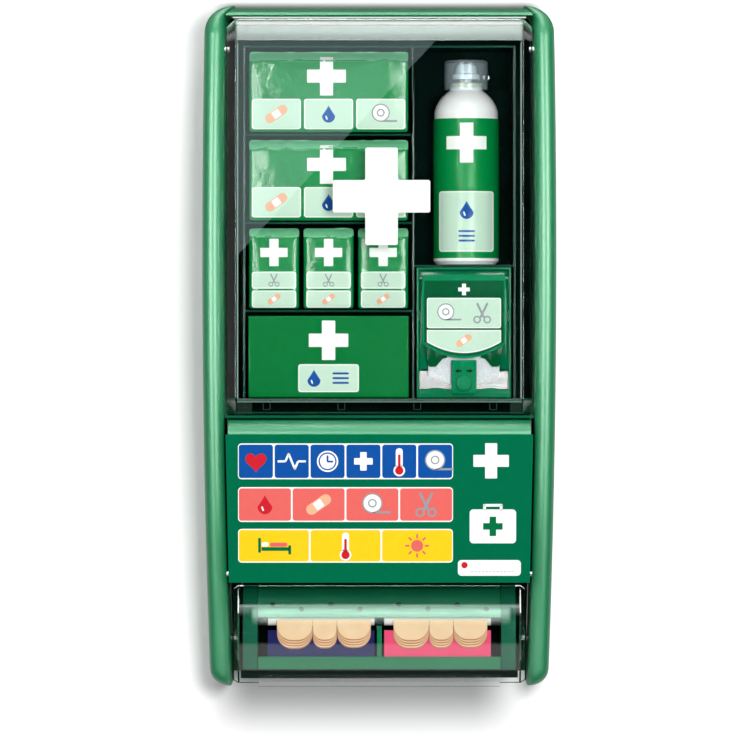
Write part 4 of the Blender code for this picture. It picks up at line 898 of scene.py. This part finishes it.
wall = {"size": 3.0, "behind": 0.6, "colour": "#fafafa", "glow": 0.14}
deselectAll()
bpy.ops.mesh.primitive_plane_add(size=wall["size"], location=(0, cadBounds[1].y + wall["behind"] * mm, 0),
                                 rotation=(math.pi / 2, 0, 0))
backdrop = bpy.context.object
backdrop.name = "wallBackdrop"
paint, tree, shader, where = startMaterial("mattWallPaint")
tree.nodes.remove(shader)
path = addNode(tree, "LightPath", {})
seen = addNode(tree, "Math", {0: path.outputs["Is Camera Ray"], 1: path.outputs["Is Transmission Ray"]},
               operation="MAXIMUM")
glow = addNode(tree, "Math", {0: seen.outputs[0], 1: wall["glow"]}, operation="MULTIPLY")
# painted shadow: where the station meets the wall, the wall's colour and glow are darkened to a soft dark
# edge above it and below its middle
place = addNode(tree, "SeparateXYZ", {0: where})
paintedWallShadows = [  # up or down, middle, where it ends and starts sideways, then in height, depth
    (1, 0.0, 0.144, 0.120, 0.291, 0.282, 0.85),
    (-1, -0.0145, 0.142, 0.090, 0.336, 0.284, 0.66),
]
keep = 1.0
for sign, shift, outer, inner, far, near, depth in paintedWallShadows:
    moved = addNode(tree, "Math", {0: place.outputs["X"], 1: shift}, operation="SUBTRACT")
    across = addNode(tree, "Math", {0: moved.outputs[0]}, operation="ABSOLUTE")
    reach = addNode(tree, "Math", {0: place.outputs["Y"], 1: sign}, operation="MULTIPLY")
    beyond = addNode(tree, "Math", {0: reach.outputs[0], 1: 0.0}, operation="GREATER_THAN")
    sideways = addNode(tree, "MapRange", {"Value": across.outputs[0], "From Min": outer, "From Max": inner,
                                          "To Max": depth}, interpolation_type="SMOOTHSTEP")
    upright = addNode(tree, "MapRange", {"Value": reach.outputs[0], "From Min": far, "From Max": near,
                                         "To Max": beyond.outputs[0]}, interpolation_type="SMOOTHSTEP")
    lost = addNode(tree, "Math", {0: sideways.outputs[0], 1: upright.outputs[0]}, operation="MULTIPLY")
    stays = addNode(tree, "Math", {0: 1.0, 1: lost.outputs[0]}, operation="SUBTRACT")
    keep = addNode(tree, "Math", {0: stays.outputs[0], 1: keep}, operation="MULTIPLY").outputs[0]
glow = addNode(tree, "Math", {0: glow.outputs[0], 1: keep}, operation="MULTIPLY")
# painted shadow: the wall colour goes towards black where the marks above say
wallTintWithPaintedShadow = addNode(tree, "Mix", {0: keep, 6: (0, 0, 0, 1), 7: toLinear(wall["colour"])}, data_type="RGBA")
matt = addNode(tree, "BsdfDiffuse", {"Color": wallTintWithPaintedShadow.outputs[2]})
shine = addNode(tree, "Emission", {"Strength": glow.outputs[0]})
both = addNode(tree, "AddShader", {0: matt.outputs[0], 1: shine.outputs[0]})
frontOnly(tree, both.outputs[0])
backdrop.data.materials.append(paint)
backdrop.visible_diffuse = False
backdrop.visible_shadow = False

# painted shade: a dark board just behind the cabinet stands in for the wall in deep shade, which is what
# shows through the clear walls past the liner
paintedShadeBoard = {"width": 0.232, "low": -0.2783, "high": 0.270, "behind": 0.3, "colour": "#0b1512"}
deselectAll()
bpy.ops.mesh.primitive_plane_add(size=1.0, location=(0, cadBounds[1].y + paintedShadeBoard["behind"] * mm,
                                                     (paintedShadeBoard["low"] + paintedShadeBoard["high"]) / 2),
                                 rotation=(math.pi / 2, 0, 0))
shade = bpy.context.object
shade.name = "shadedWallBehind"
shade.scale = (paintedShadeBoard["width"], paintedShadeBoard["high"] - paintedShadeBoard["low"], 1.0)
dim, tree, shader, where = startMaterial("wallInDeepShade")
tree.nodes.remove(shader)
frontOnly(tree, addNode(tree, "BsdfDiffuse", {"Color": toLinear(paintedShadeBoard["colour"])}).outputs[0])
shade.data.materials.append(dim)


def reflectionCard(name, width, height, place, turn, strength, fade=(0.0, 0.0), tint="#ffffff", lean=1.0,
                   fromBelow=False):
    deselectAll()
    bpy.ops.mesh.primitive_plane_add(size=1.0, location=place, rotation=[math.radians(a) for a in turn])
    card = bpy.context.object
    card.name = name
    card.scale = (width, height, 1.0)
    made, tree, shader, where = startMaterial(name + "Glow")
    tree.nodes.remove(shader)
    level = strength
    if max(fade):  # a cloth box is dimmer towards its edges, a leaning one is brightest near its first edge
        spot = addNode(tree, "SeparateXYZ", {0: addNode(tree, "TexCoord", {}).outputs["UV"]})
        for axis, edge, power in (("X", fade[0], 1.0), ("Y", fade[1], lean)):
            along = addNode(tree, "Math", {0: spot.outputs[axis], 1: power}, operation="POWER")
            inward = addNode(tree, "Math", {0: along.outputs[0], 1: 0.5}, operation="SUBTRACT")
            inward = addNode(tree, "Math", {0: inward.outputs[0]}, operation="ABSOLUTE")
            soft = addNode(tree, "MapRange", {"Value": inward.outputs[0], "From Min": 0.5,
                                              "From Max": 0.499 - edge}, interpolation_type="SMOOTHSTEP")
            level = addNode(tree, "Math", {0: soft.outputs["Result"], 1: level},
                            operation="MULTIPLY").outputs[0]
    if fromBelow:
        under = addNode(tree, "NewGeometry", {}).outputs["Backfacing"]
        level = addNode(tree, "Math", {0: level, 1: under}, operation="MULTIPLY").outputs[0]
    glow = addNode(tree, "Emission", {"Color": toLinear(tint), "Strength": level})
    plug(tree, tree.nodes["Material Output"], {"Surface": glow.outputs[0]})
    card.data.materials.append(made)
    card.visible_camera = card.visible_diffuse = False
    card.visible_shadow = card.visible_volume_scatter = False


reflectionCard("darkFlag", 3.6, 3.4, (0, -2.6, 0.0), (90, 0, 0), 0.0)
reflectionCard("floorGlow", 3.2, 2.6, (0, -1.3, -1.1), (0, 0, 0), 0.4, tint="#a4dcc6")
reflectionCard("coverGlow", 0.26, 0.110, (0, -0.15, -0.303), (90, 0, 0), 1.35, fade=(0.0, 0.1))
reflectionCard("coverBand", 0.218, 0.083, (0.0015, -0.1435, -0.1955), (0, 0, 180), 10.0, fade=(0.02, 0.45),
               tint="#e4fff2", lean=0.25, fromBelow=True)
reflectionCard("rightFlag", 2.6, 3.0, (1.9, -1.3, 0.0), (90, 0, 90), 0.0)
reflectionCard("leftFlag", 2.6, 3.0, (-1.9, -1.3, 0.0), (90, 0, 90), 0.22)
reflectionCard("doorHaze", 0.24, 0.56, (-0.143, -2.30, 0.319), (90, 42.85, 0), 1.2, tint="#d3f0f2")
reflectionCard("leftStrip", 1.0, 1.6, (-0.80, -2.1, 0.25), (90, 0, -19), 29.0, fade=(0.3, 0.3))
reflectionCard("rightStrip", 1.0, 1.6, (0.80, -2.1, 0.25), (90, 0, 19), 29.0, fade=(0.3, 0.3))
reflectionCard("coverFlag", 0.27, 0.06, (0, -0.3, -0.17), (90, 0, 0), 0.0)
reflectionCard("topBox", 1.6, 3.6, (0, -0.5, 1.35), (0, 0, 0), 8.6, fade=(0.499, 0.499), tint="#ecfff7")
reflectionCard("highWall", 0.7, 1.0, (0, -0.004, 0.79), (90, 0, 0), 7.0, fade=(0.36, 0.36))

world = bpy.data.worlds.new("studioAir")
scene.world = world
world.use_nodes = True
tree = world.node_tree
path = addNode(tree, "LightPath", {})
looks = addNode(tree, "Math", {0: path.outputs["Is Camera Ray"], 1: path.outputs["Is Glossy Ray"]},
                operation="MAXIMUM")
looks = addNode(tree, "Math", {0: looks.outputs[0], 1: path.outputs["Is Transmission Ray"]},
                operation="MAXIMUM")
level = addNode(tree, "MapRange", {"Value": looks.outputs[0], "To Min": 0.4, "To Max": 1.0})
plug(tree, tree.nodes["Background"], {"Strength": level.outputs["Result"], "Color": (1, 1, 1, 1)})


def softLamp(name, power, size, place, target):
    bpy.ops.object.light_add(type="AREA", location=place)
    lamp = bpy.context.object
    lamp.name = name
    lamp.data.energy = power
    lamp.data.size = size
    lamp.rotation_euler = (Vector(target) - Vector(place)).to_track_quat("-Z", "Y").to_euler()
    lamp.visible_glossy = False


softLamp("keyLamp", 50.0, 0.47, (0.33, -2.7, 0.16), (0, 0, 0))  # behind the dark flag, so no pane mirrors it
softLamp("topLamp", 9.0, 0.9, (0, -0.9, 1.5), (0, -0.05, 0))

view = {"place": (0.0, -4.6, 0.0), "lens": 268.65, "shiftX": -0.0154, "shiftY": -0.0302}
bpy.ops.object.camera_add(location=view["place"], rotation=(math.pi / 2, 0, 0))
camera = bpy.context.object
camera.data.lens = view["lens"]
camera.data.sensor_width = 36.0
camera.data.shift_x = view["shiftX"]
camera.data.shift_y = view["shiftY"]
scene.camera = camera
print("studio set")
